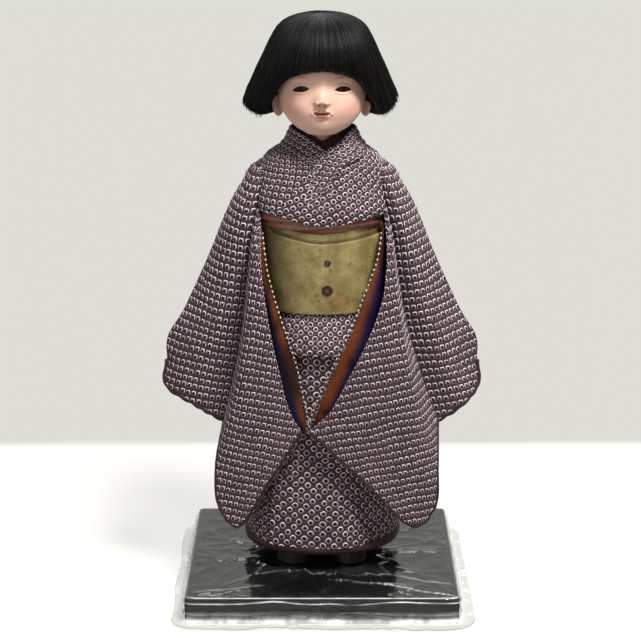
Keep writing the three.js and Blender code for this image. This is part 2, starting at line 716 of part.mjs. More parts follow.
function waistTuck() {
  const swell = TUCK / 2;
  const heights = [HIP_HEIGHT - 2, HIP_HEIGHT, OBI_LOW, OBI_LOW + TUCK_UNDER_OBI];
  const fullness = [0, swell, swell, 0];
  const outer = (c, r) => onRobe(c * STEP, heights[r], TUCK_IN + TUCK - swell + fullness[r]);
  const inner = (c, r) => onRobe(c * STEP, heights[r], TUCK_IN);
  return sheet(COLUMNS, heights.length - 1, outer, inner, true);
}

function hemRoll() {
  const sides = 8;
  const height = HEM_HEIGHT - GAP - HEM_ROLL_RADIUS;
  return closedTube(COLUMNS, sides, (i, s) => {
    const angle = (2 * Math.PI * s) / sides;
    const lift = HEM_ROLL_RADIUS * Math.sin(angle);
    const [x, y] = onRobe(i * STEP, height, HEM_ROLL_RADIUS * Math.cos(angle) - HEM_ROLL_RADIUS / 2);
    return [x, y, height + lift];
  });
}

add(figure, 'robe_back', robeBack(), 0x6a5862, 0.85);
add(figure, 'robe_right_front', robeRightFront(), 0x6a5862, 0.85);
add(figure, 'robe_left_front', robeLeftFront(), 0x6a5862, 0.85);
add(figure, 'waist_tuck', waistTuck(), 0x6a5862, 0.85);
add(figure, 'hem_roll', hemRoll(), 0x3a1a18, 0.7);

const COLLAR_LEAN = 0.62;
const SASH_TOP = OBI_HIGH + OBI_INNER_RISE + SCARF_HEIGHT + 11;

// Collars: strips that run round the neck, cross at the front and go down to the sash.
// The free edge is a path of angle and height; the strip hangs to its outer side.
function collarStrip(lean, end, inside, outside) {
  const edge = [];
  const turns = 16;
  for (let n = 0; n <= turns; n++) {
    const angle = Math.PI / 2 - 0.02 + ((end - Math.PI / 2) * n) / turns;
    const fall = Math.max(0, -angle - 0.15) / (Math.PI / 2 - 0.15);
    const onNeck = COLLAR_TOP_HEIGHT - (COLLAR_TOP_HEIGHT - CROSSING_HEIGHT) * Math.min(fall, 1) ** 1.5;
    const past = Math.max(0, FRONT - angle) / COLLAR_LEAN;
    edge.push([angle, onNeck - (CROSSING_HEIGHT - SASH_TOP) * past]);
  }
  const place = (n, share, offset) => {
    const [a0, h0] = edge[Math.max(0, n - 1)];
    const [a1, h1] = edge[Math.min(turns, n + 1)];
    const reach = section(edge[n][1])[1];
    const run = Math.hypot((a1 - a0) * reach, h1 - h0);
    const angle = edge[n][0] + (-(h1 - h0) / run) * ((COLLAR_WIDTH * share) / reach);
    const height = edge[n][1] + (((a1 - a0) * reach) / run) * COLLAR_WIDTH * share;
    const [x, y, z] = onRobe(angle, height, offset);
    return [lean * x, y, z];
  };
  const rows = 3;
  return sheet(turns, rows, (c, r) => place(c, r / rows, outside), (c, r) => place(c, r / rows, inside));
}

const overCollar = collarStrip(1, FRONT - COLLAR_LEAN, OVER_COLLAR_IN, OVER_COLLAR_IN + COLLAR);
const lowCollar = collarStrip(-1, FRONT + 0.1, COLLAR_IN, COLLAR_OUT);

function underCollar() {
  const low = NECK_BASE_HEIGHT + GAP;
  const dip = COLLAR_TOP_HEIGHT - CROSSING_HEIGHT - UNDER_COLLAR_RISE;
  const high = (c) => COLLAR_TOP_HEIGHT + UNDER_COLLAR_RISE / 2 - dip * Math.max(0, -Math.sin(c * STEP)) ** 2;
  const face = (offset) => (c, r) => onRobe(c * STEP, r === 0 ? low : high(c), offset);
  return sheet(COLUMNS, 1, face(CORE_OUT + UNDER_COLLAR), face(CORE_OUT), true);
}

add(figure, 'collar_left', overCollar, 0x65535d, 0.85);
add(figure, 'collar_right', lowCollar, 0x65535d, 0.85);
add(figure, 'under_collar', underCollar(), 0x1f100f, 0.8);

// Sash: stiff board, two turns, a scarf above and the bow behind
const BOW_Y = WAIST_HALF_DEPTH + OUTER_TURN_OUT;
const BOW_HEIGHT = (OBI_LOW + OBI_HIGH) / 2 + 6;

function obiScarf() {
  const low = OBI_HIGH + OBI_INNER_RISE + GAP;
  const heights = [low, low + SCARF_HEIGHT / 2, low + SCARF_HEIGHT];
  const fullness = [0.8, 1, 0.5];
  const outer = (c, r) => onRobe(c * STEP, heights[r], OVER_OUT + LAP_GAP + SCARF_THICKNESS * fullness[r]);
  const inner = (c, r) => onRobe(c * STEP, heights[r], OVER_OUT + LAP_GAP);
  return sheet(COLUMNS, 2, outer, inner, true);
}

function bowLoop(side) {
  const start = KNOT_WIDTH / 2 + GAP;
  const spans = [0, 0.2, 0.55, 0.85, 1];
  const fullness = [0.45, 0.7, 1, 0.95, 0.6];
  const rings = spans.map((share, n) => {
    const x = side * (start + (BOW_HALF_SPAN - start) * share);
    return Array.from({ length: 14 }, (_, s) => {
      const angle = (2 * Math.PI * s) / 14;
      const y = BOW_Y + GAP + BOW_HALF_DEPTH * (1 + 0.9 * Math.cos(angle) * fullness[n]);
      return [x, y, BOW_HEIGHT + 2 * share + BOW_HALF_HEIGHT * fullness[n] * Math.sin(angle)];
    });
  });
  return loft(rings);
}

function bowKnot() {
  const half = KNOT_WIDTH / 2;
  const rows = [[0, 0.8], [0.2, 1], [0.8, 1], [1, 0.8]];
  const low = BOW_HEIGHT - KNOT_HEIGHT / 2;
  const depth = KNOT_DEPTH / 2;
  const middle = BOW_Y + GAP + depth;
  const ring = ([share, size]) => (
    ellipse(14, 0, middle, low + KNOT_HEIGHT * share, half * size, depth * size)
  );
  return loft(rows.map(ring));
}

function bowTail() {
  const top = BOW_HEIGHT - KNOT_HEIGHT / 2 - GAP;
  const rows = 6;
  const middle = BOW_Y + KNOT_DEPTH / 2;
  const face = (out) => (c, r) => {
    const across = c / 8 - 0.5;
    const width = Math.min(TAIL_WIDTH, TAIL_TOP_WIDTH + ((TAIL_WIDTH - TAIL_TOP_WIDTH) * r) / 3);
    const fold = TAIL_RIPPLE * Math.cos(across * 4 * Math.PI);
    return [across * width, middle + fold + out, top - (TAIL_DROP * r) / rows];
  };
  return sheet(8, rows, face(TAIL_THICKNESS), face(0));
}

const innerTurn = layer(OBI_LOW + 1, OBI_HIGH + OBI_INNER_RISE, INNER_TURN_IN, INNER_TURN_OUT);
const outerTurn = layer(OBI_LOW, OBI_HIGH, OUTER_TURN_IN, OUTER_TURN_OUT);
add(figure, 'obi_board', layer(OBI_LOW + 2, OBI_HIGH - 2, BOARD_IN, BOARD_OUT), 0xcfc6b4, 0.9);
add(figure, 'obi_inner_turn', innerTurn, 0x8f8553, 0.6, 0.2);
add(figure, 'obi_outer_turn', outerTurn, 0x968c5a, 0.6, 0.2);
add(figure, 'obi_scarf', obiScarf(), 0x8a4a2c, 0.5);
add(figure, 'bow_left_loop', bowLoop(1), 0x968c5a, 0.6, 0.2);
add(figure, 'bow_right_loop', bowLoop(-1), 0x968c5a, 0.6, 0.2);
add(figure, 'bow_knot', bowKnot(), 0x8f8553, 0.6, 0.2);
add(figure, 'bow_tail', bowTail(), 0x968c5a, 0.6, 0.2);

// Head: level rings by rise over the chin, half width, front and back, as shares of the head's own sizes
const HEAD_RINGS = [
  [0, 0.25, 0.85, -0.5], [0.04, 0.438, 0.938, -0.28], [0.107, 0.625, 0.988, 0], [0.187, 0.797, 1, 0.39],
  [0.293, 0.922, 1, 0.72], [0.427, 0.984, 0.975, 0.917], [0.56, 1, 0.963, 1], [0.72, 0.953, 0.9, 0.986],
  [0.853, 0.797, 0.75, 0.833], [0.947, 0.531, 0.5, 0.583], [1, 0.156, 0.15, 0.194],
];
const NECK_TOP = CHIN_HEIGHT + NECK_IN_HEAD;
const DOWEL_LOW = SOCKET_LOW + GAP + SOCKET_FLOOR + GAP;
const DOWEL_HIGH = NECK_LOW + DOWEL_IN_HEAD;

function skull(grow) {
  const rings = HEAD_RINGS.map(([rise, wide, front, back]) => {
    const lift = CHIN_HEIGHT + HEAD_HEIGHT * rise + (rise === 0 ? -grow : 0) + (rise === 1 ? grow : 0);
    const [near, far] = [-FACE_FRONT * front, HEAD_BACK * back];
    return ellipse(20, 0, (near + far) / 2, lift, HEAD_HALF_WIDTH * wide + grow, (far - near) / 2 + grow);
  });
  return loft(rings);
}

function ears(grow) {
  const sizes = [EAR_HALF_WIDTH, EAR_HALF_DEPTH, EAR_HALF_HEIGHT].map((size) => size + grow);
  return [-1, 1].map((side) => ellipsoid(side * EAR_OUT, 0, CHIN_HEIGHT + EAR_RISE, ...sizes, 8, 6));
}

function headWhole(grow, neckLow) {
  const neck = bar('z', NECK_RADIUS + grow, neckLow, NECK_TOP, 0, NECK_SET_BACK, 0, 20);
  return join(skull(grow), neck, ...ears(grow));
}

function eye(side, grow) {
  const sizes = [EYE_HALF_WIDTH, EYE_DEPTH, EYE_HALF_HEIGHT].map((size) => size + grow);
  return ellipsoid(side * EYE_SPREAD, -EYE_SET_FORWARD, CHIN_HEIGHT + EYE_RISE, ...sizes, 12, 6);
}

function headPiece() {
  const mid = (out, rise, sizes, columns, rows) => (
    ellipsoid(0, -out, CHIN_HEIGHT + rise, ...sizes, columns, rows)
  );
  const noseSizes = [NOSE_HALF_WIDTH, NOSE_HALF_DEPTH, NOSE_HALF_HEIGHT];
  const bridgeSizes = [BRIDGE_RADIUS, BRIDGE_RADIUS, BRIDGE_HALF_HEIGHT];
  const mouthSizes = [MOUTH_HALF_WIDTH, MOUTH_HALF_DEPTH, MOUTH_HALF_HEIGHT];
  const lipsSizes = [LIPS_HALF_WIDTH, LIPS_HALF_DEPTH, LIPS_HALF_HEIGHT];
  const nose = mid(NOSE_SET_FORWARD, NOSE_RISE, noseSizes, 10, 6);
  const bridge = mid(BRIDGE_SET_FORWARD, NOSE_RISE + BRIDGE_RISE, bridgeSizes, 8, 6);
  const mouth = mid(MOUTH_SET_FORWARD, MOUTH_RISE, mouthSizes, 10, 4);
  const lips = mid(LIPS_SET_FORWARD, MOUTH_RISE - LIPS_DROP, lipsSizes, 10, 6);
  const face = join(headWhole(0, NECK_LOW), nose, bridge, lips);
  const bore = bar('z', DOWEL_RADIUS + BORE_GAP, NECK_LOW - 1, DOWEL_HIGH + GAP, 0, 0, 0, 20);
  return cut(face, mouth, eye(1, GAP), eye(-1, GAP), bore);
}

// Wig: level rings by rise over the chin, half width, front and back, as shares of the wig's own sizes
const WIG_RINGS = [
  [0.122, 0.908, 0.558, 0.894], [0.159, 0.982, 0.651, 0.957], [0.207, 1, 0.744, 0.979],
  [0.305, 0.982, 0.837, 1], [0.402, 0.908, 0.93, 1], [0.512, 0.853, 1, 0.979], [0.61, 0.78, 1, 0.936],
  [0.72, 0.697, 0.93, 0.872], [0.817, 0.606, 0.79, 0.766], [0.915, 0.477, 0.605, 0.596],
  [0.963, 0.349, 0.442, 0.447], [1, 0.128, 0.186, 0.191],
];

function wigWhole() {
  const rings = WIG_RINGS.map(([rise, wide, front, back]) => {
    const [near, far] = [-WIG_FRONT * front, WIG_BACK * back];
    const lift = CHIN_HEIGHT + WIG_TOP * rise;
    return ellipse(26, 0, (near + far) / 2, lift, WIG_HALF_WIDTH * wide, (far - near) / 2);
  });
  const low = CHIN_HEIGHT;
  const fringe = CHIN_HEIGHT + FRINGE_RISE;
  const half = [
    [OPENING_LOW_HALF_WIDTH, low], [CHEEK_HALF_WIDTH, low + CHEEK_RISE],
    [TEMPLE_HALF_WIDTH, low + TEMPLE_RISE], [FRINGE_HALF_WIDTH, fringe - FRINGE_CORNER_DROP],
    [FRINGE_HALF_WIDTH - FRINGE_CORNER_WIDTH, fringe],
  ];
  const mirrored = half.map(([x, z]) => [-x, z]).reverse();
  const faceOpening = prism([...half, ...mirrored], -FAR, -OPENING_FRONT);
  return cut(loft(rings), headWhole(GAP, NECK_LOW), faceOpening);
}

function fringeBlock(grow) {
  const half = FRINGE_HALF_WIDTH + grow;
  const low = CHIN_HEIGHT + FRINGE_RISE;
  return box(-half, half, -FAR, FRINGE_ROOT + grow, low - FRINGE_CUT, low + FRINGE_HEIGHT + grow);
}

const wig = wigWhole();
add(headGroup, 'head', headPiece(), 0xdcb9a4, 0.45);
add(headGroup, 'neck_dowel', bar('z', DOWEL_RADIUS, DOWEL_LOW, DOWEL_HIGH, 0, 0, 0, 20), 0xb98f5f, 0.7);
add(headGroup, 'left_eye', eye(1, 0), 0x1c110c, 0.08);
add(headGroup, 'right_eye', eye(-1, 0), 0x1c110c, 0.08);
add(headGroup, 'hair_bob', cut(wig, fringeBlock(GAP)), 0x0c0b0c, 0.4);
add(headGroup, 'hair_fringe', common(wig, fringeBlock(0)), 0x0c0b0c, 0.4);

// Sleeve: a front face and a back face that meet along the top of the arm.
// The front face is two four-sided patches, the hanging bag and the wing, either side of a valley fold.
// A patch blends its two long edges, its armhole edge and its lower edge. Ease shapes its depth across,
// and reach says how fast the lower edge's sag fades towards the shoulder.
function curve(points) {
  return new THREE.CatmullRomCurve3(points.map((p) => new THREE.Vector3(...p)));
}

function patch(inner, outer, top, lower, ease, reach) {
  const corners = [inner.getPoint(0), outer.getPoint(0), inner.getPoint(1), outer.getPoint(1)];
  const blend = (share, u, v) => {
    const pull = v ** reach;
    return new THREE.Vector3()
      .addScaledVector(inner.getPoint(v), 1 - share)
      .addScaledVector(outer.getPoint(v), share)
      .addScaledVector(top(u), 1 - pull)
      .addScaledVector(lower.getPoint(u), pull)
      .addScaledVector(corners[0], -(1 - share) * (1 - pull))
      .addScaledVector(corners[1], -share * (1 - pull))
      .addScaledVector(corners[2], -(1 - share) * pull)
      .addScaledVector(corners[3], -share * pull);
  };
  return (u, v) => {
    const point = blend(u, u, v);
    point.y = blend(u ** ease, u, v).y;
    return point;
  };
}

function armholePoint(degrees) {
  const angle = THREE.MathUtils.degToRad(degrees);
  const y = -ARMHOLE_RADIUS * Math.sin(angle);
  return new THREE.Vector3(SEAM_X, y, ARMHOLE_HEIGHT + ARMHOLE_RADIUS * Math.cos(angle));
}

function armholeEdge(from, to) {
  return (u) => armholePoint(from + (to - from) * u);
}

// Front face: u runs from the open inner edge over the valley to the outer line, v from shoulder to hem
function sleeveFront(sizes) {
  const furiTop = armholePoint(ARMHOLE_REACH);
  const valleyTop = armholePoint(VALLEY_START);
  const shoulder = armholePoint(0);
  const furiFall = (share) => furiTop.z + (FURI_LOW - furiTop.z) * share;
  const valleyFall = (share) => valleyTop.z + (NOTCH_HEIGHT - valleyTop.z) * share;
  const tip = [sizes.tip, FURI_SET_BACK - BAG_FRONT, FURI_LOW];
  const notch = [sizes.valley, -VALLEY_DEPTH, NOTCH_HEIGHT];
  const end = [SLEEVE_REACH, -CUFF_SET_FORWARD, SLEEVE_TIP_HEIGHT];
  const furi = curve([
    furiTop.toArray(), [sizes.upper, -UPPER_FURI_DEPTH, furiFall(0.14)],
    [sizes.middle, FURI_SET_BACK - BAG_FRONT, furiFall(0.53)], tip,
  ]);
  const valley = curve([
    valleyTop.toArray(), [ARMPIT_X, 3 - VALLEY_DEPTH, valleyFall(0.14)],
    [sizes.fold, -VALLEY_DEPTH, valleyFall(0.56)], notch,
  ]);
  const outer = curve([
    shoulder.toArray(),
    ...OUTER_LINE.map(([reach, fall]) => [
      shoulder.x + (SLEEVE_REACH - shoulder.x) * reach, -CUFF_SET_FORWARD * fall,
      shoulder.z + (SLEEVE_TIP_HEIGHT - shoulder.z) * fall,
    ]),
    end,
  ]);
  const bagLow = curve([
    tip, [sizes.diagonal, -BAG_FRONT, (FURI_LOW + SLEEVE_LOW) / 2],
    [sizes.low, FURI_SET_BACK - BAG_FRONT, SLEEVE_LOW],
    [sizes.outer - 2, CORNER_SET_BACK - BAG_FRONT, SLEEVE_LOW + SLEEVE_CORNER_RISE],
    [sizes.outer, SIDE_SET_BACK - BAG_FRONT, SLEEVE_LOW + SLEEVE_SIDE_RISE], notch,
  ]);
  const wingLow = curve([
    notch, [sizes.cuff, -CUFF_FOLD_DEPTH, NOTCH_HEIGHT + CUFF_DROP * 0.75],
    [SLEEVE_REACH - 3, -CUFF_FOLD_DEPTH / 2, SLEEVE_TIP_HEIGHT - CUFF_DROP], end,
  ]);
  const bag = patch(furi, valley, armholeEdge(ARMHOLE_REACH, VALLEY_START), bagLow, 1.8, 3);
  const wing = patch(valley, outer, armholeEdge(VALLEY_START, 0), wingLow, 1, 1.5);
  return (u, v) => {
    if (u < VALLEY) return bag(u / VALLEY, v);
    const share = (u - VALLEY) / (1 - VALLEY);
    const point = wing(share, v);
    point.y -= WING_SWELL * Math.sin(Math.PI * share) * Math.sin(Math.PI * v) ** 0.6;
    return point;
  };
}

// Back face: behind the front face by the room inside, which closes towards the outer line.
// Near the armpit its open edge keeps outside the sash, and lower down it shows past the front face.
function sleeveBack(sizes) {
  const front = sleeveFront(sizes);
  return (u, v) => {
    const point = front(u, v);
    const start = -2 * front(u, 0).y;
    const share = Math.max(0, (u - VALLEY) / (1 - VALLEY));
    const past = (u - VALLEY + FOLD_SPREAD / 2) / FOLD_SPREAD;
    const bag = BAG_ROOM + FOLD_ROOM * Math.exp(-(past ** 2));
    const room = bag * (1 - share) + ARM_ROOM * Math.sin(Math.PI * share) ** 0.8;
    point.y += start + (room - start) * THREE.MathUtils.smoothstep(v, 0, 0.28);
    const edge = Math.max(0, 1 - u / VALLEY);
    const hold = edge * (1 - THREE.MathUtils.smoothstep(v, 0.12, 0.34));
    point.x += Math.max(0, ARMPIT_X - point.x) * hold;
    const shown = Math.sin(Math.PI * THREE.MathUtils.smoothstep(v, 0.2, 1));
    point.x -= LINING_SHOWS * Math.max(0, 1 - u / 0.2) * shown;
    return point;
  };
}

function sleeveFace(sizes) {
  const front = sleeveFront(sizes);
  const back = sleeveBack(sizes);
  const last = 2 * SLEEVE_COLUMNS;
  const at = (c, r) => {
    const column = Math.min(last, Math.max(0, c));
    const v = Math.min(SLEEVE_ROWS, Math.max(0, r)) / SLEEVE_ROWS;
    if (column <= SLEEVE_COLUMNS) return front(column / SLEEVE_COLUMNS, v);
    return back(1 - (column - SLEEVE_COLUMNS) / SLEEVE_COLUMNS, v);
  };
  return (offset) => (c, r) => {
    const along = at(c + 1, r).sub(at(c - 1, r));
    const down = at(c, r + 1).sub(at(c, r - 1));
    const square = along.cross(down).normalize();
    const level = new THREE.Vector3(0, c < SLEEVE_COLUMNS ? 1 : -1, 0);
    const turn = THREE.MathUtils.smoothstep(1 - Math.abs(c / SLEEVE_COLUMNS - 1), LEVEL_UNTIL, 1);
    const point = at(c, r).addScaledVector(level.lerp(square, turn).normalize(), offset);
    if (r === 0) point.x = SEAM_X;
    return [sizes.sign * point.x, point.y, point.z];
  };
}

function sleevePieces(sizes) {
  const face = sleeveFace(sizes);
  const columns = 2 * SLEEVE_COLUMNS;
  const liningOut = SLEEVE + LAP_GAP;
  return {
    sleeve: sheet(columns, SLEEVE_ROWS, face(0), face(SLEEVE)),
    lining: sheet(columns, SLEEVE_ROWS, face(liningOut), face(liningOut + LINING)),
  };
}

// Dark roll along the open end of the sleeve
function cuffEdge(sizes) {
  const front = sleeveFront(sizes);
  const back = sleeveBack(sizes);
  const clear = CUFF_RADIUS + LAP_GAP + GAP;
  const below = (side, u) => {
    const point = side(u, 1);
    const away = point.clone().sub(side(u, 0.96)).normalize();
    return point.addScaledVector(away, clear);
  };
  const path = [];
  for (const u of [0.62, 0.72, 0.82, 0.92, 0.98]) path.push(below(front, u));
  for (const u of [0.98, 0.92, 0.82, 0.72, 0.62]) path.push(below(back, u));
  return tube(path.map((p) => [sizes.sign * p.x, p.y, p.z]), CUFF_RADIUS, 28, 6);
}

// Arm: padded upper arm on the shoulder wire, then a stiff forearm with its hand, along the sleeve's room
function armPath(sizes) {
  const front = sleeveFront(sizes);
  const back = sleeveBack(sizes);
  const inside = (v) => front(ARM_LINE, v).add(back(ARM_LINE, v)).multiplyScalar(0.5).toArray();
  const start = [[ARM_START, 0, ARMHOLE_HEIGHT], [SEAM_X, 0, ARMHOLE_HEIGHT]];
  const path = [...start, inside(0.3), inside(0.42), inside(0.62), inside(0.78)];
  return path.map(([x, y, z]) => [sizes.sign * x, y, z]);
}

function upperArm(sizes) {
  const path = armPath(sizes).slice(0, 3);
  const arm = limb(path, [ARM_RADIUS, ARM_RADIUS, ARM_RADIUS]);
  const reach = ARM_START + WIRE_IN_ARM + GAP;
  const ends = [sizes.sign * (ARM_START - ARM_RADIUS), sizes.sign * reach].sort((p, q) => p - q);
  return cut(arm, bar('x', SHOULDER_WIRE_RADIUS + BORE_GAP, ...ends, 0, 0, ARMHOLE_HEIGHT, 12));
}

function forearm(sizes) {
  const [, before, elbow, below, wrist, tips] = armPath(sizes).map((p) => new THREE.Vector3(...p));
  const along = elbow.clone().sub(before).normalize();
  const start = elbow.clone().addScaledVector(along, GAP);
  const next = start.clone().addScaledVector(along, ARM_RADIUS / 2);
  const path = [start, next, below, wrist].map((p) => p.toArray());
  const arm = limb(path, [ARM_RADIUS, ARM_RADIUS, ARM_RADIUS, WRIST_RADIUS]);
  const middle = wrist.clone().lerp(tips, 0.5);
  const lean = Math.atan2(tips.x - wrist.x, wrist.z - tips.z);
  const half = wrist.distanceTo(tips) / 2 + HAND_TIP;
  const handSizes = [WRIST_RADIUS + HAND_SPREAD, WRIST_RADIUS - HAND_SPREAD, half];
  const thumbSizes = [THUMB_RADIUS, THUMB_RADIUS, THUMB_HALF_LENGTH];
  const thumbAt = [-sizes.sign * WRIST_RADIUS, -THUMB_RADIUS / 2, THUMB_RADIUS];
  const hand = ellipsoid(0, 0, 0, ...handSizes, 10, 6).rotateY(-lean);
  const thumb = ellipsoid(...thumbAt, ...thumbSizes, 8, 6).rotateY(-lean);
  return join(arm, hand.translate(...middle.toArray()), thumb.translate(...middle.toArray()));
}

for (const [group, sizes, name] of [[leftArm, LEFT_SLEEVE, 'left'], [rightArm, RIGHT_SLEEVE, 'right']]) {
  const { sleeve, lining } = sleevePieces(sizes);
  add(group, `${name}_upper_arm`, upperArm(sizes), 0xd9cdb8, 0.9);
  add(group, `${name}_forearm`, forearm(sizes), 0xdcb9a4, 0.45);
  add(group, `${name}_sleeve`, sleeve, 0x6a5862, 0.85);
  add(group, `${name}_sleeve_lining`, lining, 0x824623, 0.6);
  add(group, `${name}_cuff_edge`, cuffEdge(sizes), 0x3a1a18, 0.7);
}

export default root;
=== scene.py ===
"""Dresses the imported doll: robe, sleeves, sash, face, hair and stand, with its stage and camera."""

import math

import bpy
import numpy as np
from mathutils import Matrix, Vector


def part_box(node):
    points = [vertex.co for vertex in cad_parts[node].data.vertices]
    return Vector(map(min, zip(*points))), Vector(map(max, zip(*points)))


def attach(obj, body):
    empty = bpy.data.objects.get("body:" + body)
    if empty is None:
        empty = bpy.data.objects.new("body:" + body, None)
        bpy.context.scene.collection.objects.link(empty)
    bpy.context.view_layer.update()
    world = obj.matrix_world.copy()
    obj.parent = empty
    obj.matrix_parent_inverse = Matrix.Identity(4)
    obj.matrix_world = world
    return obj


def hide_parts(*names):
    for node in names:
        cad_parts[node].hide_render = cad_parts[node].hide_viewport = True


bl_info = {
    "name": "Ichimatsu doll",
    "version": (1, 0, 0),
    "blender": (4, 5, 0),
    "location": "View3D > Sidebar > Doll",
    "description": "Makes the cloth, hair, face, sash and stand of a dressed doll around its packed frame",
    "category": "Add Mesh",
}

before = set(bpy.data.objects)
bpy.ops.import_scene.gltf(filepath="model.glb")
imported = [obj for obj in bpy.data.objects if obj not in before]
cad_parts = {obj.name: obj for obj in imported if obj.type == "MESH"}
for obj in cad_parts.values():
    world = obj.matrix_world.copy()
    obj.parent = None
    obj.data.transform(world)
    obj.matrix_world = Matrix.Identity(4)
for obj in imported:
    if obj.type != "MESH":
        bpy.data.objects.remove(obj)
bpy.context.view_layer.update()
MM = 0.001
TAU = 2 * math.pi
FRONT = -math.pi / 2
WHITE = np.ones((1, 3))


def cad_box(node):
    """Lowest and highest corner of a CAD node, in millimetres."""
    return [np.array(corner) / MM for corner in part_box(node)]


# Places read from the frame, in millimetres; heights of the clothes count from the soles, which stand on FLOOR, and
# the chin's from the frame's origin
FLOOR = cad_box("left_sandal")[0][2]
SET_BACK = np.mean([corner[1] for corner in cad_box("left_foot_peg")])
OBI_LOW, OBI_HIGH = (corner[2] - FLOOR for corner in cad_box("obi_outer_turn"))
SCARF_LOW, SCARF_HIGH = (corner[2] - FLOOR for corner in cad_box("obi_scarf"))
WIG_HEIGHT = 82
CHIN = cad_box("hair_bob")[1][2] - WIG_HEIGHT
STAND_CORNER = cad_box("stand_board")[1]
FILM_FLOOR = cad_box("clear_wrap")[0][2]

# Film: distance out from the board's edge and height over its top, along its profile
FILM_PROFILE = [
    [-42, 0.3], [-20, 0.4], [-4, 0.5], [-0.8, 0.5], [0.6, -0.4], [1.0, -2.2], [1.2, -6], [1.2, -12], [1.6, -16],
    [4, -18.6], [8, -19.8], [11.5, -20.3],
]
FILM_ROWS, FILM_COLUMNS = 89, 560
FILM_GAUGE = 0.2
BOARD_BOXINESS = 40
BOARD_REACH = 115
# Long creases on top of the film, drawn only as painted highlight lines in its tint: from x, y to x, y, and their
# strength
FILM_CREASE_HIGHLIGHTS = ((38, -56, 99, -79, 0.6), (4, -52, 64, -60, 0.3), (-97, -73, -42, -61, 0.3), (52, -44, 98, -60, 0.35))

# Robe sections: height over the soles, half width, half depth and boxiness of the outer face
ROBE_SECTIONS = np.array([
    [0, 57.5, 45, 2.2], [19, 57.5, 45, 2.2], [85, 52.5, 41, 2.2], [174, 46, 36.5, 2.2], [203, 37, 29, 2.2],
    [253, 37, 29, 2.2], [274, 42, 31, 2.8], [303, 44, 27.5, 2.8], [309.5, 40, 25.5, 2.7], [314.5, 32, 23.5, 2.5],
    [319, 25, 20.5, 2.2], [331, 20.5, 17.8, 2],
])
HEM_HEIGHT = 19
TUCK_HEIGHT = 173
WAIST_HEIGHT = 205
SASH_HEIGHT = 228
CHEST_HEIGHT = 240
CROSSING_HEIGHT = 300
SHOULDER_HEIGHT = 303
NECK_HEIGHT = 318
PANEL_ROWS = 300
# Shares of a front panel at which the skirt, the hidden part behind the sash and the chest's lower fold end
SKIRT_SHARE, HIDDEN_SHARE, FOLD_SHARE = 0.55, 0.58, 0.64
UNDER_FOLD, OVER_FOLD = 265.5, 264.5
FOLD_RISE = 8
BLOUSE = 7.2
UNDER_EDGE = FRONT + 0.3
OVER_EDGE = FRONT - 0.8
# Free edge of the over front from the sash up round the neck to the nape: height and angle from the front
COLLAR_EDGE = np.array([
    [263, -0.95], [269, -0.83], [277, -0.71], [288, -0.55], [303, -0.26], [315.5, 0.06], [320.5, 0.38], [325, 0.72],
    [327.8, 1.1], [328.8, 1.57], [329.4, 2.3], [329.6, 3.12],
])
COLLAR_WIDTH = 12
COLLAR_GRAIN = 4.6
NECK_RADIUS = 24

# Layers over the robe's face
LINING_IN = -2.6
PADDING_IN = -4.6
OVER_OUT = 1.9
INNER_TURN_OUT = 6.9
OUTER_TURN_OUT = 9.3

# Sleeves; the furi is their open inner edge below the armhole
SEAM_X = 44.1
ARMHOLE_HEIGHT = 288.5
ARMHOLE_RADIUS = 17
ARMHOLE_REACH = 132
VALLEY_START = 112
ARMPIT_X = 50
SLEEVE_REACH = 119
TIP_HEIGHT = 153
SLEEVE_LOW = 39
NOTCH_HEIGHT = 112
FURI_LOW = 114
BAG_FRONT = 52.5
VALLEY_DEPTH = 24
OUTER_LINE = [[0.15, 0.09], [0.28, 0.19], [0.53, 0.48], [0.81, 0.78]]
SLEEVES = {
    "right": dict(sign=-1, tip=14.6, upper=42, middle=29, diagonal=38, low=63, outer=78, fold=58, valley=73,
                  cuff=94, shading=[1.1, 0.95, 0.85, 0.55, 0.45, 0.4], stains=[(0.64, 0.4), (0.97, 0.6)]),
    "left": dict(sign=1, tip=-12.4, upper=44, middle=25, diagonal=28, low=68, outer=85, fold=62, valley=86,
                 cuff=104, shading=[0.7, 0.44, 0.34, 0.36, 0.62, 1.0], stains=[(0.92, 0.5), (0.75, 0.6)]),
}
# Open edges of the sleeves: height, and reach of the front face's edge and of the back face's beaded edge
OPEN_EDGES = {
    "right": np.array([
        [108, 13, 9], [114, 14.6, 9.6], [124, 21.6, 11.2], [141, 27.1, 14.6], [162, 31.3, 18.5], [179, 35.1, 23.8],
        [196, 38.3, 29.6], [213, 40.9, 34.8], [232, 43.2, 39.8], [255, 44, 42.8], [277.1, 44.1, 44.1],
    ]),
    "left": np.array([
        [108, -13, -13], [114, -9.5, -11], [120, -3, -8.8], [128, 6.1, -5.8], [141, 12.6, -1], [157, 20.3, 6.2],
        [172, 27.9, 12.9], [187, 34.4, 20.1], [201, 39.8, 25.5], [216, 44.2, 31.4], [239, 46.5, 40.2],
        [255, 46.2, 42.8], [277.1, 44.1, 44.1],
    ]),
}
EDGE_SOFTNESS = 8
BEAD_TOP = 257
BEAD_PITCH = 3.9

# Woven roundels on the sash: place across and up, and radius
ROUNDELS = ((3.8, 38.5, 2.6), (3.6, 18.0, 4.3))

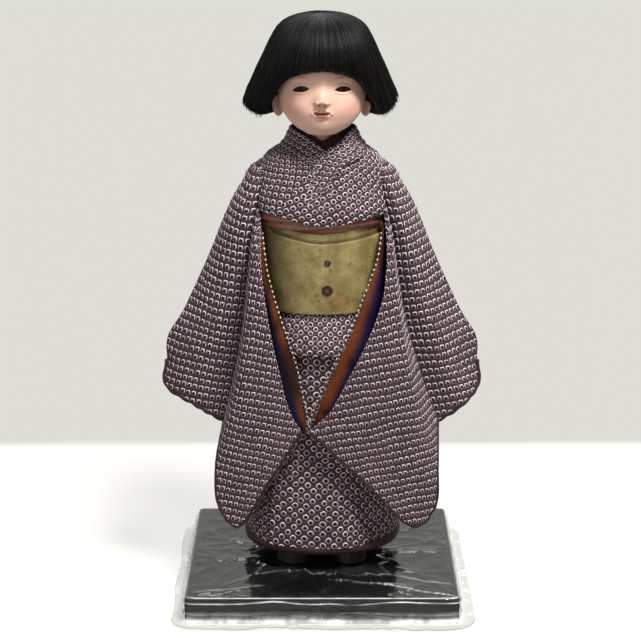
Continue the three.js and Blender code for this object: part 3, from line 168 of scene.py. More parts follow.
# Head and wig: rise over the chin, half width, front and back
HEAD_RINGS = np.array([
    [-1, 9.5, -34, -18], [2, 17, -37.5, -10], [7, 23.4, -39.5, 0], [13, 28.2, -40, 14], [21, 31, -40, 26],
    [31, 32.2, -39, 33], [42, 32.2, -38.5, 36], [54, 30.5, -36, 35.5], [64, 25.5, -30, 30], [71, 17, -20, 21],
    [75, 5, -6, 7],
])
WIG_RINGS = np.array([
    [0, 54, -30, 44], [8, 54.6, -31, 45], [13, 56, -32, 46], [17, 55.8, -33, 46.5], [25, 53.4, -36.5, 47],
    [33, 49.6, -40, 47], [42, 45.8, -43, 46], [50, 41.8, -43.5, 44], [59, 37.8, -41, 41], [66.2, 34, -36, 36.5],
    [70, 31.6, -32.5, 34], [73.2, 28.2, -28.4, 30.4], [75.6, 24.2, -24, 26], [77.4, 19.8, -19.6, 21.6],
    [78.8, 14.4, -14.2, 16.2], [79.7, 8.8, -8.6, 10.2], [80.2, 0.5, 0, 1],
])
CROWN = 80.1
# Cut ends of the hair: angle from the front in degrees, and rise over the chin
FACE_OPENING = np.array([
    [0, 44.4], [10, 43.6], [20, 41.6], [29, 38.4], [35, 34], [39, 27], [42, 20], [46, 12.6], [51, 9.8], [58, 10.2],
    [68, 12.2], [78, 14.4], [95, 16], [120, 14], [180, 9],
])
HEM_RISE = 8.5
FRINGE_HALF = math.radians(36)
LOCK_STEPS = 18

# Face: spread, rise and half width of the eyes, then its hills and hollows as height, place and width across, and
# place and width in rise
EYE_SPREAD, EYE_RISE, EYE_HALF = 14.6, 30.4, 5.7
FACE_FORMS = (
    (2.2, 17, 9, 18, 8),  # cheeks
    (1.5, 0, 9, 15.5, 6),  # swell round the mouth
    (1.2, 0, 7, 4.5, 4.5),  # chin
    (-1.3, 13, 8, 34, 4.5),  # hollows of the eyes
    (0.7, 12, 9, 40, 3),  # brows
    (1.7, 3.5, 1.5, 22.9, 1.7),  # wings of the nose
    (-0.5, 0, 0.9, 19.2, 1.2),  # groove over the lip
    (1.1, 2.1, 2.4, 17.0, 1.1),  # upper lip
    (1.2, 0, 3.2, 14.3, 1.1),  # lower lip
    (0.75, 6.9, 0.9, 15.8, 1.2),  # corners of the mouth
    (-0.8, 0, 3.6, 11.2, 1.2),  # hollow under the lip
)
NOSTRILS = ((1, 2.0, 0.85, 21.6, 0.65),)
# Tint towards the blush colour, each as strength, then place and width across and place and width in rise: the cheeks'
# blush, a warmer tint on the chin, and painted shade under the nose
FACE_BLUSH_AND_SHADE = ((0.5, 20, 8, 17, 7), (0.3, 0, 6, 5, 5), (0.25, 0, 4, 22, 3))
MOUTH_HALF, LOWER_LIP_HALF = 5.7, 4.7

# Lamps: place in metres, size and power; they look at the doll's middle
LAMPS = {"Key": ((0.52, -0.62, 1.78), 0.45, 52), "Fill": ((-0.7, -1.3, 0.75), 1.2, 6),
         "Back": ((0.1, 0.95, 1.45), 1.0, 14)}
LAMP_AIM = Vector((0, 0, 0.22))
# Camera: width of its sensor, and how far the doll's middle stands from the picture's, as a share of its width
SENSOR_WIDTH = 36
PICTURE_SHIFT = -1.5 / 641
FLOOR_REACHES = np.array([200, 500, 1000, 2000, 4000, 8000])


# Helpers for curves and surfaces

def smoothstep(low, high, value):
    """Zero before low, one after high, with an S between."""
    share = np.clip((value - low) / (high - low), 0, 1)
    return share * share * (3 - 2 * share)


def bell(value, width):
    """Gaussian bump of height one."""
    return np.exp(-((value / width) ** 2))


def circle(count):
    """Evenly spaced angles of a closed ring, as one row."""
    return np.linspace(0, TAU, count, endpoint=False)[None]


def from_front(angle):
    """Angle from the front middle, between minus and plus half a turn."""
    return (angle - FRONT + math.pi) % TAU - math.pi


def surface(x, y, z):
    """Grid of points from three arrays that stretch to one shape."""
    return np.stack(np.broadcast_arrays(x, y, z), -1)


def soft_table(table, at, reach):
    """Straight lines through a table's rows, rounded by a sliding cosine window of the given reach."""
    steps = np.linspace(-1, 1, 15)
    weights = 1 + np.cos(np.pi * steps)
    total = 0
    for step, weight in zip(steps, weights):
        total = total + weight * np.stack([
            np.interp(np.asarray(at, float) + step * reach, table[:, 0], table[:, n])
            for n in range(1, table.shape[1])
        ], axis=-1)
    return total / weights.sum()


def spline(points, t):
    """Centripetal Catmull-Rom curve through the points, with equal parameter steps between them."""
    p = np.asarray(points, float)
    p = np.vstack([2 * p[0] - p[1], p, 2 * p[-1] - p[-2]])
    place = np.clip(np.asarray(t, float), 0, 1) * (len(points) - 1)
    n = np.minimum(place.astype(int), len(points) - 2)
    w = (place - n)[..., None]
    a, b, c, d = p[n], p[n + 1], p[n + 2], p[n + 3]
    ab, bc, cd = (np.sqrt(np.linalg.norm(q - r, axis=-1, keepdims=True)) for q, r in ((a, b), (b, c), (c, d)))
    out = ((b - a) / ab - (c - a) / (ab + bc) + (c - b) / bc) * bc
    into = ((c - b) / bc - (d - b) / (bc + cd) + (d - c) / cd) * bc
    return b + out * w + (3 * (c - b) - 2 * out - into) * w**2 + (2 * (b - c) + out + into) * w**3


def run_length(points, axis):
    """Length along a grid's rows or columns, from its first line."""
    steps = np.linalg.norm(np.diff(points, axis=axis), axis=-1)
    return np.concatenate([np.zeros_like(np.take(steps, [0], axis)), np.cumsum(steps, axis)], axis)


def cloth_lengths(points):
    """Cloth place of a grid: its lengths across and down."""
    return np.stack([run_length(points, 1), run_length(points, 0)], -1)


def unit(arrows):
    """Arrows of length one."""
    return arrows / np.maximum(np.linalg.norm(arrows, axis=-1, keepdims=True), 1e-9)


def normals(points):
    """Unit normals of a grid: the cross product of its two directions."""
    return unit(np.cross(np.gradient(points, axis=1), np.gradient(points, axis=0)))


def ripple(u, v, seed):
    """Smooth irregular field between about minus one and one: a sum of four waves in fixed directions."""
    rng = np.random.default_rng(seed)
    total = 0
    for turn, phase, pitch in zip(rng.uniform(0, TAU, 4), rng.uniform(0, TAU, 4), rng.uniform(0.7, 1.9, 4)):
        total = total + np.sin(pitch * (u * math.cos(turn) + v * math.sin(turn)) + phase)
    return total / 3


def hills(table, x, rise):
    """Sum of Gaussian hills, the same on both sides of the middle: height, then place and width across and up."""
    return sum(high * bell(np.abs(x) - at, wide) * bell(rise - up, tall) for high, at, wide, up, tall in table)


def between(first, second, share):
    """Tint on the straight way from one tint to another."""
    return first + (second - first) * share[..., None]


def toned(tint, mask, loss):
    """Tint that loses a share of each colour where the mask is one."""
    return tint * (1 - mask[..., None] * np.array(loss))


# Helpers for meshes

def grid_faces(rows, columns, ring=False, loop=False, start=0):
    """Quads of a grid of points counted row by row; a ring joins its last column to its first, and a loop its last
    row to its first."""
    r = np.arange(rows if loop else rows - 1)[:, None]
    c = np.arange(columns if ring else columns - 1)[None, :]
    here, below, after = r * columns, (r + 1) % rows * columns, (c + 1) % columns
    return np.stack([here + c, here + after, below + after, below + c], -1).reshape(-1, 4) + start


def grid_of(points, **joined):
    """Faces of one whole grid of points."""
    return [grid_faces(*points.shape[:2], **joined)]


def fan(ring, tip):
    """Triangles from a closed ring of points to one point."""
    return np.stack([ring, np.roll(ring, -1), np.full_like(ring, tip)], -1)


def capped(points, low, high):
    """Points and faces of a grid of closed rings, with a fan to a tip at either end."""
    rows, columns = points.shape[:2]
    count, ring = rows * columns, np.arange(columns)
    caps = np.vstack([fan(ring[::-1], count), fan(ring + count - columns, count + 1)])
    return np.vstack([points.reshape(-1, 3), low, high]), [grid_faces(rows, columns, ring=True), caps]


def tube(path, radius, sides):
    """Round section carried along a path, with closed ends; radius may change along it."""
    along = unit(np.gradient(path, axis=0))
    guide = np.where(np.abs(along[:, 1:2]) < 0.9, [[0.0, 1.0, 0.0]], [[1.0, 0.0, 0.0]])
    across = unit(np.cross(guide, along))
    up = np.cross(along, across)
    turn = circle(sides)[..., None]
    spoke = np.cos(turn) * across[:, None] + np.sin(turn) * up[:, None]
    points = path[:, None] + spoke * np.broadcast_to(radius, len(path))[:, None, None]
    return capped(points, path[0], path[-1])


def make_piece(name, points, faces, body, slot, finish, stands_for=None, uv=None, colours=None, flip=False):
    """Puts points in millimetres and lists of faces into a smooth mesh that rides on a body and stands for a node."""
    points = np.asarray(points, float).reshape(-1, 3)
    groups = [group[:, ::-1] if flip else group for group in faces]
    corners = np.concatenate([group.ravel() for group in groups])
    sizes = np.concatenate([np.full(len(group), group.shape[1]) for group in groups])
    mesh = bpy.data.meshes.new(name)
    mesh.vertices.add(len(points))
    mesh.vertices.foreach_set("co", (points * MM).ravel().astype(np.float32))
    mesh.loops.add(len(corners))
    mesh.loops.foreach_set("vertex_index", corners.astype(np.int32))
    mesh.polygons.add(len(sizes))
    mesh.polygons.foreach_set("loop_start", np.concatenate([[0], np.cumsum(sizes)[:-1]]).astype(np.int32))
    mesh.polygons.foreach_set("use_smooth", np.ones(len(sizes), bool))
    if uv is not None:
        layer = mesh.uv_layers.new(name="Cloth")
        layer.data.foreach_set("uv", np.asarray(uv, np.float32).reshape(-1, 2)[corners].ravel())
    if colours is not None:
        tint = mesh.color_attributes.new("Tint", "FLOAT_COLOR", "POINT")
        rgba = np.ones((len(points), 4), np.float32)
        rgba[:, :3] = np.asarray(colours).reshape(-1, 3)
        tint.data.foreach_set("color", rgba.ravel())
    mesh.update(calc_edges=True)
    mesh.validate()
    mesh.materials.append(finish)
    piece = bpy.data.objects.new(name, mesh)
    bpy.context.scene.collection.objects.link(piece)
    if body:
        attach(piece, body)
    if stands_for:
        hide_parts(stands_for)
    return piece


def refinish(finish, *names):
    """Gives CAD nodes a better finish."""
    for name in names:
        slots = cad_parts[name].data.materials
        slots.clear()
        slots.append(finish)


def surface_area(piece):
    """Area of a piece's mesh in square metres."""
    areas = np.empty(len(piece.data.polygons), np.float32)
    piece.data.polygons.foreach_get("area", areas)
    return float(areas.sum())


def declare_cloth(piece, width, length):
    """Works out a sheet's flat cut from its width and length in millimetres, and an area: the smaller of the piece's
    own and the cut's; it keeps neither."""
    flat = (width * MM, length * MM)
    cut = min(surface_area(piece), flat[0] * flat[1])


# Robe surface and its grains

def robe_point(angle, height, offset):
    """Point over the robe: at each height the polar radius of a boxy ellipse, its corner power and half sizes from
    the sections."""
    sizes = soft_table(ROBE_SECTIONS, height, 4.5)
    x, y, power = np.cos(angle), np.sin(angle), sizes[..., 2]
    wide = np.abs(x / (sizes[..., 0] + offset)) ** power
    deep = np.abs(y / (sizes[..., 1] + offset)) ** power
    radius = (wide + deep) ** (-1 / power)
    return surface(radius * x, radius * y + SET_BACK, height + FLOOR)


GIRTH_STEPS = 180
ROBE_GIRTHS = run_length(
    robe_point(FRONT + np.linspace(0, math.pi, GIRTH_STEPS + 1)[None], np.arange(340.0)[:, None], 0), 1)


def around(angle, height):
    """Length round the robe from its front middle to an angle, read between the lines of a table of summed steps."""
    turn = from_front(angle)
    row = np.clip(height, 0, len(ROBE_GIRTHS) - 1.1)
    column = np.clip(np.abs(turn) / math.pi * GIRTH_STEPS, 0, GIRTH_STEPS - 0.1)
    i, j = row.astype(int), column.astype(int)
    u, v = row - i, column - j
    near = ROBE_GIRTHS[i, j] * (1 - v) + ROBE_GIRTHS[i, j + 1] * v
    far = ROBE_GIRTHS[i + 1, j] * (1 - v) + ROBE_GIRTHS[i + 1, j + 1] * v
    return np.sign(turn) * (near * (1 - u) + far * u)


def over_edge(height):
    """Angle of the over front's free edge at a height."""
    return FRONT + np.interp(height, COLLAR_EDGE[:, 0], COLLAR_EDGE[:, 1])


def grain_lattice(across, down, pitch_across, pitch_down, turn=0.0, seed=0, wander=0.14):
    """Cloth place in grains: lengths turned by an angle, over the pitch of the rows, with a slight wander."""
    a = across * math.cos(turn) + down * math.sin(turn)
    b = -across * math.sin(turn) + down * math.cos(turn)
    stray_a, stray_b = (wander * ripple(across / 9, down / 9, seed + more) for more in (0, 50))
    return np.stack([a / pitch_across + stray_a, b / pitch_down + stray_b], axis=-1)


def nubs(points, lattice, height):
    """Tied nubs along a grid's normals: a squared cosine hill in every cell of the lattice."""
    hill = np.cos(np.pi * (lattice - np.floor(lattice) - 0.5)) ** 2
    return normals(points) * (height * hill[..., 0] * hill[..., 1])[..., None]


# Helpers for materials

def shader(name, colour=(0.5, 0.5, 0.5), roughness=0.6, **sockets):
    """Material with one Principled shader; sockets are set by their names with underscores for spaces."""
    finish = bpy.data.materials.new(name)
    finish.use_nodes = True
    base = finish.node_tree.nodes["Principled BSDF"]
    base.inputs["Base Color"].default_value = (*colour, 1)
    base.inputs["Roughness"].default_value = roughness
    for key, value in sockets.items():
        base.inputs[key.replace("_", " ").title().replace("Ior", "IOR")].default_value = value
    return finish, finish.node_tree, base


def fill(tree, socket, value):
    """Links or sets one input."""
    if isinstance(value, bpy.types.NodeSocket):
        tree.links.new(value, socket)
    else:
        socket.default_value = value


def node(tree, kind, *inputs, **settings):
    """Adds a node, sets its options and fills its first inputs with links or values."""
    made = tree.nodes.new(kind)
    for key, value in settings.items():
        setattr(made, key, value)
    for socket, value in zip(made.inputs, inputs):
        fill(tree, socket, value)
    return made


def maths(tree, operation, *inputs):
    """Sum, product or other working of numbers."""
    return node(tree, "ShaderNodeMath", *inputs, operation=operation).outputs[0]


def vectors(tree, operation, *inputs):
    """Working of vectors; lengths and dot products give a number."""
    made = node(tree, "ShaderNodeVectorMath", *inputs, operation=operation)
    return made.outputs["Value" if operation in ("LENGTH", "DOT_PRODUCT") else "Vector"]


def scaled(tree, vector, factor):
    """Vector or colour times a number."""
    made = node(tree, "ShaderNodeVectorMath", vector, operation="SCALE")
    fill(tree, made.inputs["Scale"], factor)
    return made.outputs["Vector"]


def band(tree, value, low, high, at_low, at_high):
    """Smooth step of a value from at_low to at_high."""
    return node(tree, "ShaderNodeMapRange", value, low, high, at_low, at_high,
                interpolation_type="SMOOTHSTEP").outputs[0]


def mixed(tree, share, first, second):
    """Colour between two colours or links."""
    made = node(tree, "ShaderNodeMix", share, data_type="RGBA")
    for socket, value in ((made.inputs[6], first), (made.inputs[7], second)):
        fill(tree, socket, value if isinstance(value, bpy.types.NodeSocket) else (*value, 1))
    return made.outputs[2]


def noise(tree, vector, scale, detail=2.0, roughness=0.5):
    """Noise field at a place."""
    made = node(tree, "ShaderNodeTexNoise", vector)
    for key, value in (("Scale", scale), ("Detail", detail), ("Roughness", roughness)):
        made.inputs[key].default_value = value
    return made.outputs["Fac"]


def bumped(tree, base, height, strength, distance):
    """Bump of a shader's normal by a height field."""
    bump = node(tree, "ShaderNodeBump")
    for key, value in (("Strength", strength), ("Distance", distance), ("Height", height)):
        fill(tree, bump.inputs[key], value)
    tree.links.new(bump.outputs["Normal"], base.inputs["Normal"])


def object_place(tree):
    """Place in the object."""
    return node(tree, "ShaderNodeTexCoord").outputs["Object"]


def cloth_place(tree):
    """Place on the cloth."""
    return node(tree, "ShaderNodeUVMap", uv_map="Cloth").outputs[0]


def mesh_tint(tree):
    """Tint of the mesh."""
    return node(tree, "ShaderNodeVertexColor", layer_name="Tint").outputs["Color"]


def blended(tree, share, first, second):
    """Shader between two nodes' shaders."""
    return node(tree, "ShaderNodeMixShader", share, first.outputs[0], second.outputs[0])


def show(tree, whole):
    """Gives a material a node's shader in place of its first one."""
    tree.links.new(whole.outputs[0], tree.nodes["Material Output"].inputs["Surface"])


# Finishes

def tie_dyed_silk(name, squareness, up_side, low_side, ground, ring, heart):
    """Rows of tied grains: in each cell of the cloth's lattice a pale ring round a dark heart on the ground, each ring
    painted brighter on its upper side and fainter on its lower side, as painted light from above.
    """
    finish, tree, base = shader(name, roughness=0.8, sheen_weight=0.04, sheen_roughness=0.5, specular_ior_level=0.15)
    place = cloth_place(tree)
    middle = (0.5, 0.5, 0.5)
    cell = vectors(tree, "FLOOR", place)
    chance = node(tree, "ShaderNodeTexWhiteNoise", cell, noise_dimensions="2D").outputs["Color"]
    shift = scaled(tree, vectors(tree, "SUBTRACT", chance, middle), 0.13)
    local = vectors(tree, "SUBTRACT", vectors(tree, "FRACTION", place), middle)
    flat = vectors(tree, "MULTIPLY", vectors(tree, "ADD", local, shift), (1, 1, 0))
    parts = node(tree, "ShaderNodeSeparateXYZ", vectors(tree, "ABSOLUTE", flat))
    square = maths(tree, "MAXIMUM", parts.outputs[0], parts.outputs[1])
    round_part = maths(tree, "MULTIPLY", vectors(tree, "LENGTH", flat), 1 - squareness)
    reach = maths(tree, "MULTIPLY_ADD", square, squareness * 1.1, round_part)
    luck = node(tree, "ShaderNodeSeparateColor", chance)
    radius = maths(tree, "MULTIPLY_ADD", luck.outputs[0], 0.05, 0.285)
    gap = maths(tree, "ABSOLUTE", maths(tree, "SUBTRACT", reach, radius))
    line = band(tree, gap, 0.025, 0.085, 1, 0)
    strength = maths(tree, "MULTIPLY_ADD", luck.outputs[1], 0.35, 0.65)
    # Painted light: each ring is strongest on its upper side and fades on its lower side, as if lit from above
    upper = vectors(tree, "DOT_PRODUCT", flat, (-0.25, up_side, 0))
    strength = maths(tree, "MULTIPLY", strength, band(tree, upper, -0.32, 0.15, low_side, 1.15))
    wear = band(tree, noise(tree, place, 1.7), 0.3, 0.55, 0.45, 1)
    seen = maths(tree, "MULTIPLY", maths(tree, "MULTIPLY", line, strength), wear)
    core = band(tree, reach, 0.14, 0.25, 1, 0)
    cloud = band(tree, noise(tree, place, 0.16), 0.35, 0.7, 0, 1)
    under = mixed(tree, cloud, tuple(0.72 * value for value in ground), ground)
    colour = mixed(tree, seen, mixed(tree, core, under, heart), ring)
    tree.links.new(colour, base.inputs["Base Color"])
    threads = maths(tree, "MULTIPLY", noise(tree, place, 22, 1), 0.2)
    bumped(tree, base, maths(tree, "ADD", band(tree, reach, 0.1, 0.5, 1, 0), threads), 0.45, 0.0006)
    return finish


def tinted(name, roughness, grain, detail=2, tones=(0.25, 0.75, 0.82, 1.12), bump=(0.2, 0.0003), fine=None, **sockets):
    """Finish with the mesh's own tint, mottled by a noise, and a bump of that noise or of a finer one."""
    finish, tree, base = shader(name, roughness=roughness, **sockets)
    place = object_place(tree)
    speck = noise(tree, place, grain, detail)
    tree.links.new(scaled(tree, mesh_tint(tree), band(tree, speck, *tones)), base.inputs["Base Color"])
    if bump:
        bumped(tree, base, noise(tree, place, fine) if fine else speck, *bump)
    return finish


def speckled(name, colour, roughness, scale, spread=0.35, bump=0.15, **sockets):
    """Plain material with clouds of lighter and darker tone and a fine bump."""
    finish, tree, base = shader(name, colour, roughness, **sockets)
    place = object_place(tree)
    tone = noise(tree, place, scale, 4, 0.6)
    low = tuple(value * (1 - spread) for value in colour)
    high = tuple(min(1, value * (1 + spread)) for value in colour)
    tree.links.new(mixed(tree, band(tree, tone, 0.3, 0.7, 0, 1), low, high), base.inputs["Base Color"])
    bumped(tree, base, noise(tree, place, scale * 6), bump, 0.0003)
    return finish


def brocade(name):
    """Olive gold weave: ribs of weft on the cloth's own lengths, browner clouds and the mesh's own tint."""
    finish, tree, base = shader(name, roughness=0.5, specular_ior_level=0.3)
    place = cloth_place(tree)
    parts = node(tree, "ShaderNodeSeparateXYZ", place)
    warp, weft = (maths(tree, "SINE", maths(tree, "MULTIPLY", place_part, pitch))
                  for place_part, pitch in ((parts.outputs[0], 7.0), (parts.outputs[1], 9.0)))
    cloud = noise(tree, place, 0.075, 4, 0.6)
    leaf = noise(tree, place, 0.4, 3, 0.55)
    gold = mixed(tree, band(tree, cloud, 0.36, 0.66, 0, 1), (0.2, 0.15, 0.052), (0.325, 0.258, 0.1))
    pale = mixed(tree, band(tree, leaf, 0.58, 0.7, 0, 0.35), gold, (0.42, 0.36, 0.18))
    brown = mixed(tree, band(tree, leaf, 0.3, 0.36, 0.75, 0), pale, (0.075, 0.042, 0.016))
    tree.links.new(vectors(tree, "MULTIPLY", brown, mesh_tint(tree)), base.inputs["Base Color"])
    rib = maths(tree, "MULTIPLY_ADD", warp, 0.35, weft)
    bumped(tree, base, maths(tree, "MULTIPLY_ADD", leaf, 2.0, rib), 0.22, 0.0002)
    return finish


def clear_film(name):
    """Clear film with a white diffuse mixed in where the mesh's tint marks it: painted highlights of its creases and
    edges, broken up by a noise. It lets light through to what it covers.
    """
    finish, tree, base = shader(
        name, (0.86, 0.865, 0.85), 0.03, transmission_weight=1.0, ior=1.22, specular_ior_level=0.35)
    # Noise that breaks up the painted highlights
    wear = band(tree, noise(tree, object_place(tree), 90, 3), 0.3, 0.6, 0.45, 1)
    glint_share = maths(tree, "MULTIPLY", mesh_tint(tree), wear)
    highlighted = blended(tree, glint_share, base, node(tree, "ShaderNodeBsdfDiffuse", (0.85, 0.85, 0.82, 1)))
    path = node(tree, "ShaderNodeLightPath")
    passing = maths(tree, "MAXIMUM", path.outputs["Is Shadow Ray"], path.outputs["Is Diffuse Ray"])
    show(tree, blended(tree, passing, highlighted, node(tree, "ShaderNodeBsdfTransparent", (0.78, 0.78, 0.77, 1))))
    return finish


def black_floss(name, colour):
    """Hair: fine upright streaks of lighter and darker floss."""
    finish, tree, base = shader(name, colour, 0.5, specular_ior_level=0.1, anisotropic=0.3)
    place = node(tree, "ShaderNodeMapping", object_place(tree))
    place.inputs["Scale"].default_value = (900, 900, 60)
    streak = band(tree, noise(tree, place.outputs[0], 1.0), 0.3, 0.7, 0, 1)
    deep, pale = (tuple(tone * value for value in colour) for tone in (0.5, 1.9))
    tree.links.new(mixed(tree, streak, deep, pale), base.inputs["Base Color"])
    return finish


FINISHES = {}


def shared(key, make, *args, **settings):
    """Finish that several pieces share, made once."""
    if key not in FINISHES:
        FINISHES[key] = make(key, *args, **settings)
    return FINISHES[key]


def robe_silk(kind):
    """Robe finish, with squarish grains for the sleeves and rounder ones for the body."""
    cloth = bpy.context.scene.doll_cloth
    # Each kind also sets the painted light on its rings: the side that is lit, and how faint the far side stays
    shape = {"sleeve": dict(squareness=0.75, up_side=-1.0, low_side=0.22),
             "body": dict(squareness=0.25, up_side=0.7, low_side=0.6)}[kind]
    return shared(f"tie_dyed_silk_{kind}", tie_dyed_silk, ground=cloth.ground[:], ring=cloth.ring[:],
                  heart=cloth.heart[:], **shape)


def dark_silk():
    """Finish of the hem roll, cuffs, under robe and inner collar."""
    dark = bpy.context.scene.doll_cloth.dark[:]
    return shared("dark_silk_weave", speckled, dark, roughness=0.75, scale=120, spread=0.3, bump=0.2,
                  specular_ior_level=0.25)


def sash_brocade():
    """Finish of the sash and its bow."""
    return shared("sash_brocade_weave", brocade)


# Settings that a user would change

def colour_setting(name, description, default):
    """Colour of a finish."""
    return bpy.props.FloatVectorProperty(name=name, description=description, default=default, subtype="COLOR")


def length_setting(name, description, millimetres):
    """Length, given in millimetres and held in metres."""
    return bpy.props.FloatProperty(name=name, description=description, default=millimetres * MM, unit="LENGTH")


def angle_setting(name, description, degrees):
    """Angle, given in degrees and held in radians."""
    return bpy.props.FloatProperty(name=name, description=description, default=math.radians(degrees), subtype="ANGLE")


class DollCloth(bpy.types.PropertyGroup):
    """Robe, sleeves and sash."""

    sleeve_pitch_across: length_setting(
        "Sleeve grain width", "Distance between columns of tied grains on the sleeves", 4.0)
    sleeve_pitch_down: length_setting("Sleeve grain height", "Distance between rows of tied grains on the sleeves", 5.6)
    robe_pitch: length_setting("Robe grain", "Distance between tied grains on the body of the robe", 5.9)
    relief: length_setting("Relief", "Height of the tied nubs", 0.7)
    ground: colour_setting("Ground", "Dyed ground of the robe", (0.06, 0.033, 0.04))
    ring: colour_setting("Rings", "Undyed rings of the robe", (0.8, 0.655, 0.68))
    heart: colour_setting("Hearts", "Dyed hearts of the rings", (0.022, 0.012, 0.015))
    lining: colour_setting("Lining", "Warm side of the shaded sleeve lining", (0.135, 0.033, 0.008))
    lining_deep: colour_setting("Lining shade", "Deep side of the shaded sleeve lining", (0.009, 0.004, 0.03))
    dark: colour_setting("Dark silk", "Hem roll, cuffs and inner collar", (0.022, 0.008, 0.0075))
    scarf: colour_setting("Scarf", "Satin scarf above the sash", (0.55, 0.22, 0.155))


class DollHead(bpy.types.PropertyGroup):
    """Face and hair."""

    skin: colour_setting("Skin", "Polished paint of the face", (0.7, 0.43, 0.33))
    blush: colour_setting("Blush", "Tint of the cheeks", (0.63, 0.31, 0.235))
    lip: colour_setting("Lips", "Paint of the lips", (0.23, 0.048, 0.036))
    brow: colour_setting("Brows", "Paint of the brows and lashes", (0.09, 0.035, 0.02))
    hair: colour_setting("Hair", "Silk floss of the wig", (0.0035, 0.003, 0.0028))
    strands: bpy.props.IntProperty(
        name="Strands", description="Locks laid over the bob", default=1500, min=100, max=1900)
    left_eye_tilt: angle_setting("Left eye tilt", "Fall of the left eye's outer corner", 2.5)
    right_eye_tilt: angle_setting("Right eye tilt", "Fall of the right eye's outer corner", 10)


class DollStage(bpy.types.PropertyGroup):
    """Stand, floor, light and camera."""

    lacquer: colour_setting("Lacquer", "Board under the doll", (0.012, 0.012, 0.013))
    floor: colour_setting("Floor", "Pale cloth under the stand", (0.88, 0.86, 0.8))
    backdrop: colour_setting("Backdrop", "Tone behind the doll", (0.73, 0.725, 0.675))
    lens: bpy.props.FloatProperty(
        name="Lens", description="Focal length of the camera", default=91.44, unit="CAMERA")
    eye_height: length_setting("Camera height", "Height of the camera over the floor", 569)
    eye_distance: length_setting("Camera distance", "Distance of the camera in front of the doll's middle", 1146.5)
    pitch: angle_setting("Camera pitch", "Angle by which the camera looks down", 17.505)


# Stand

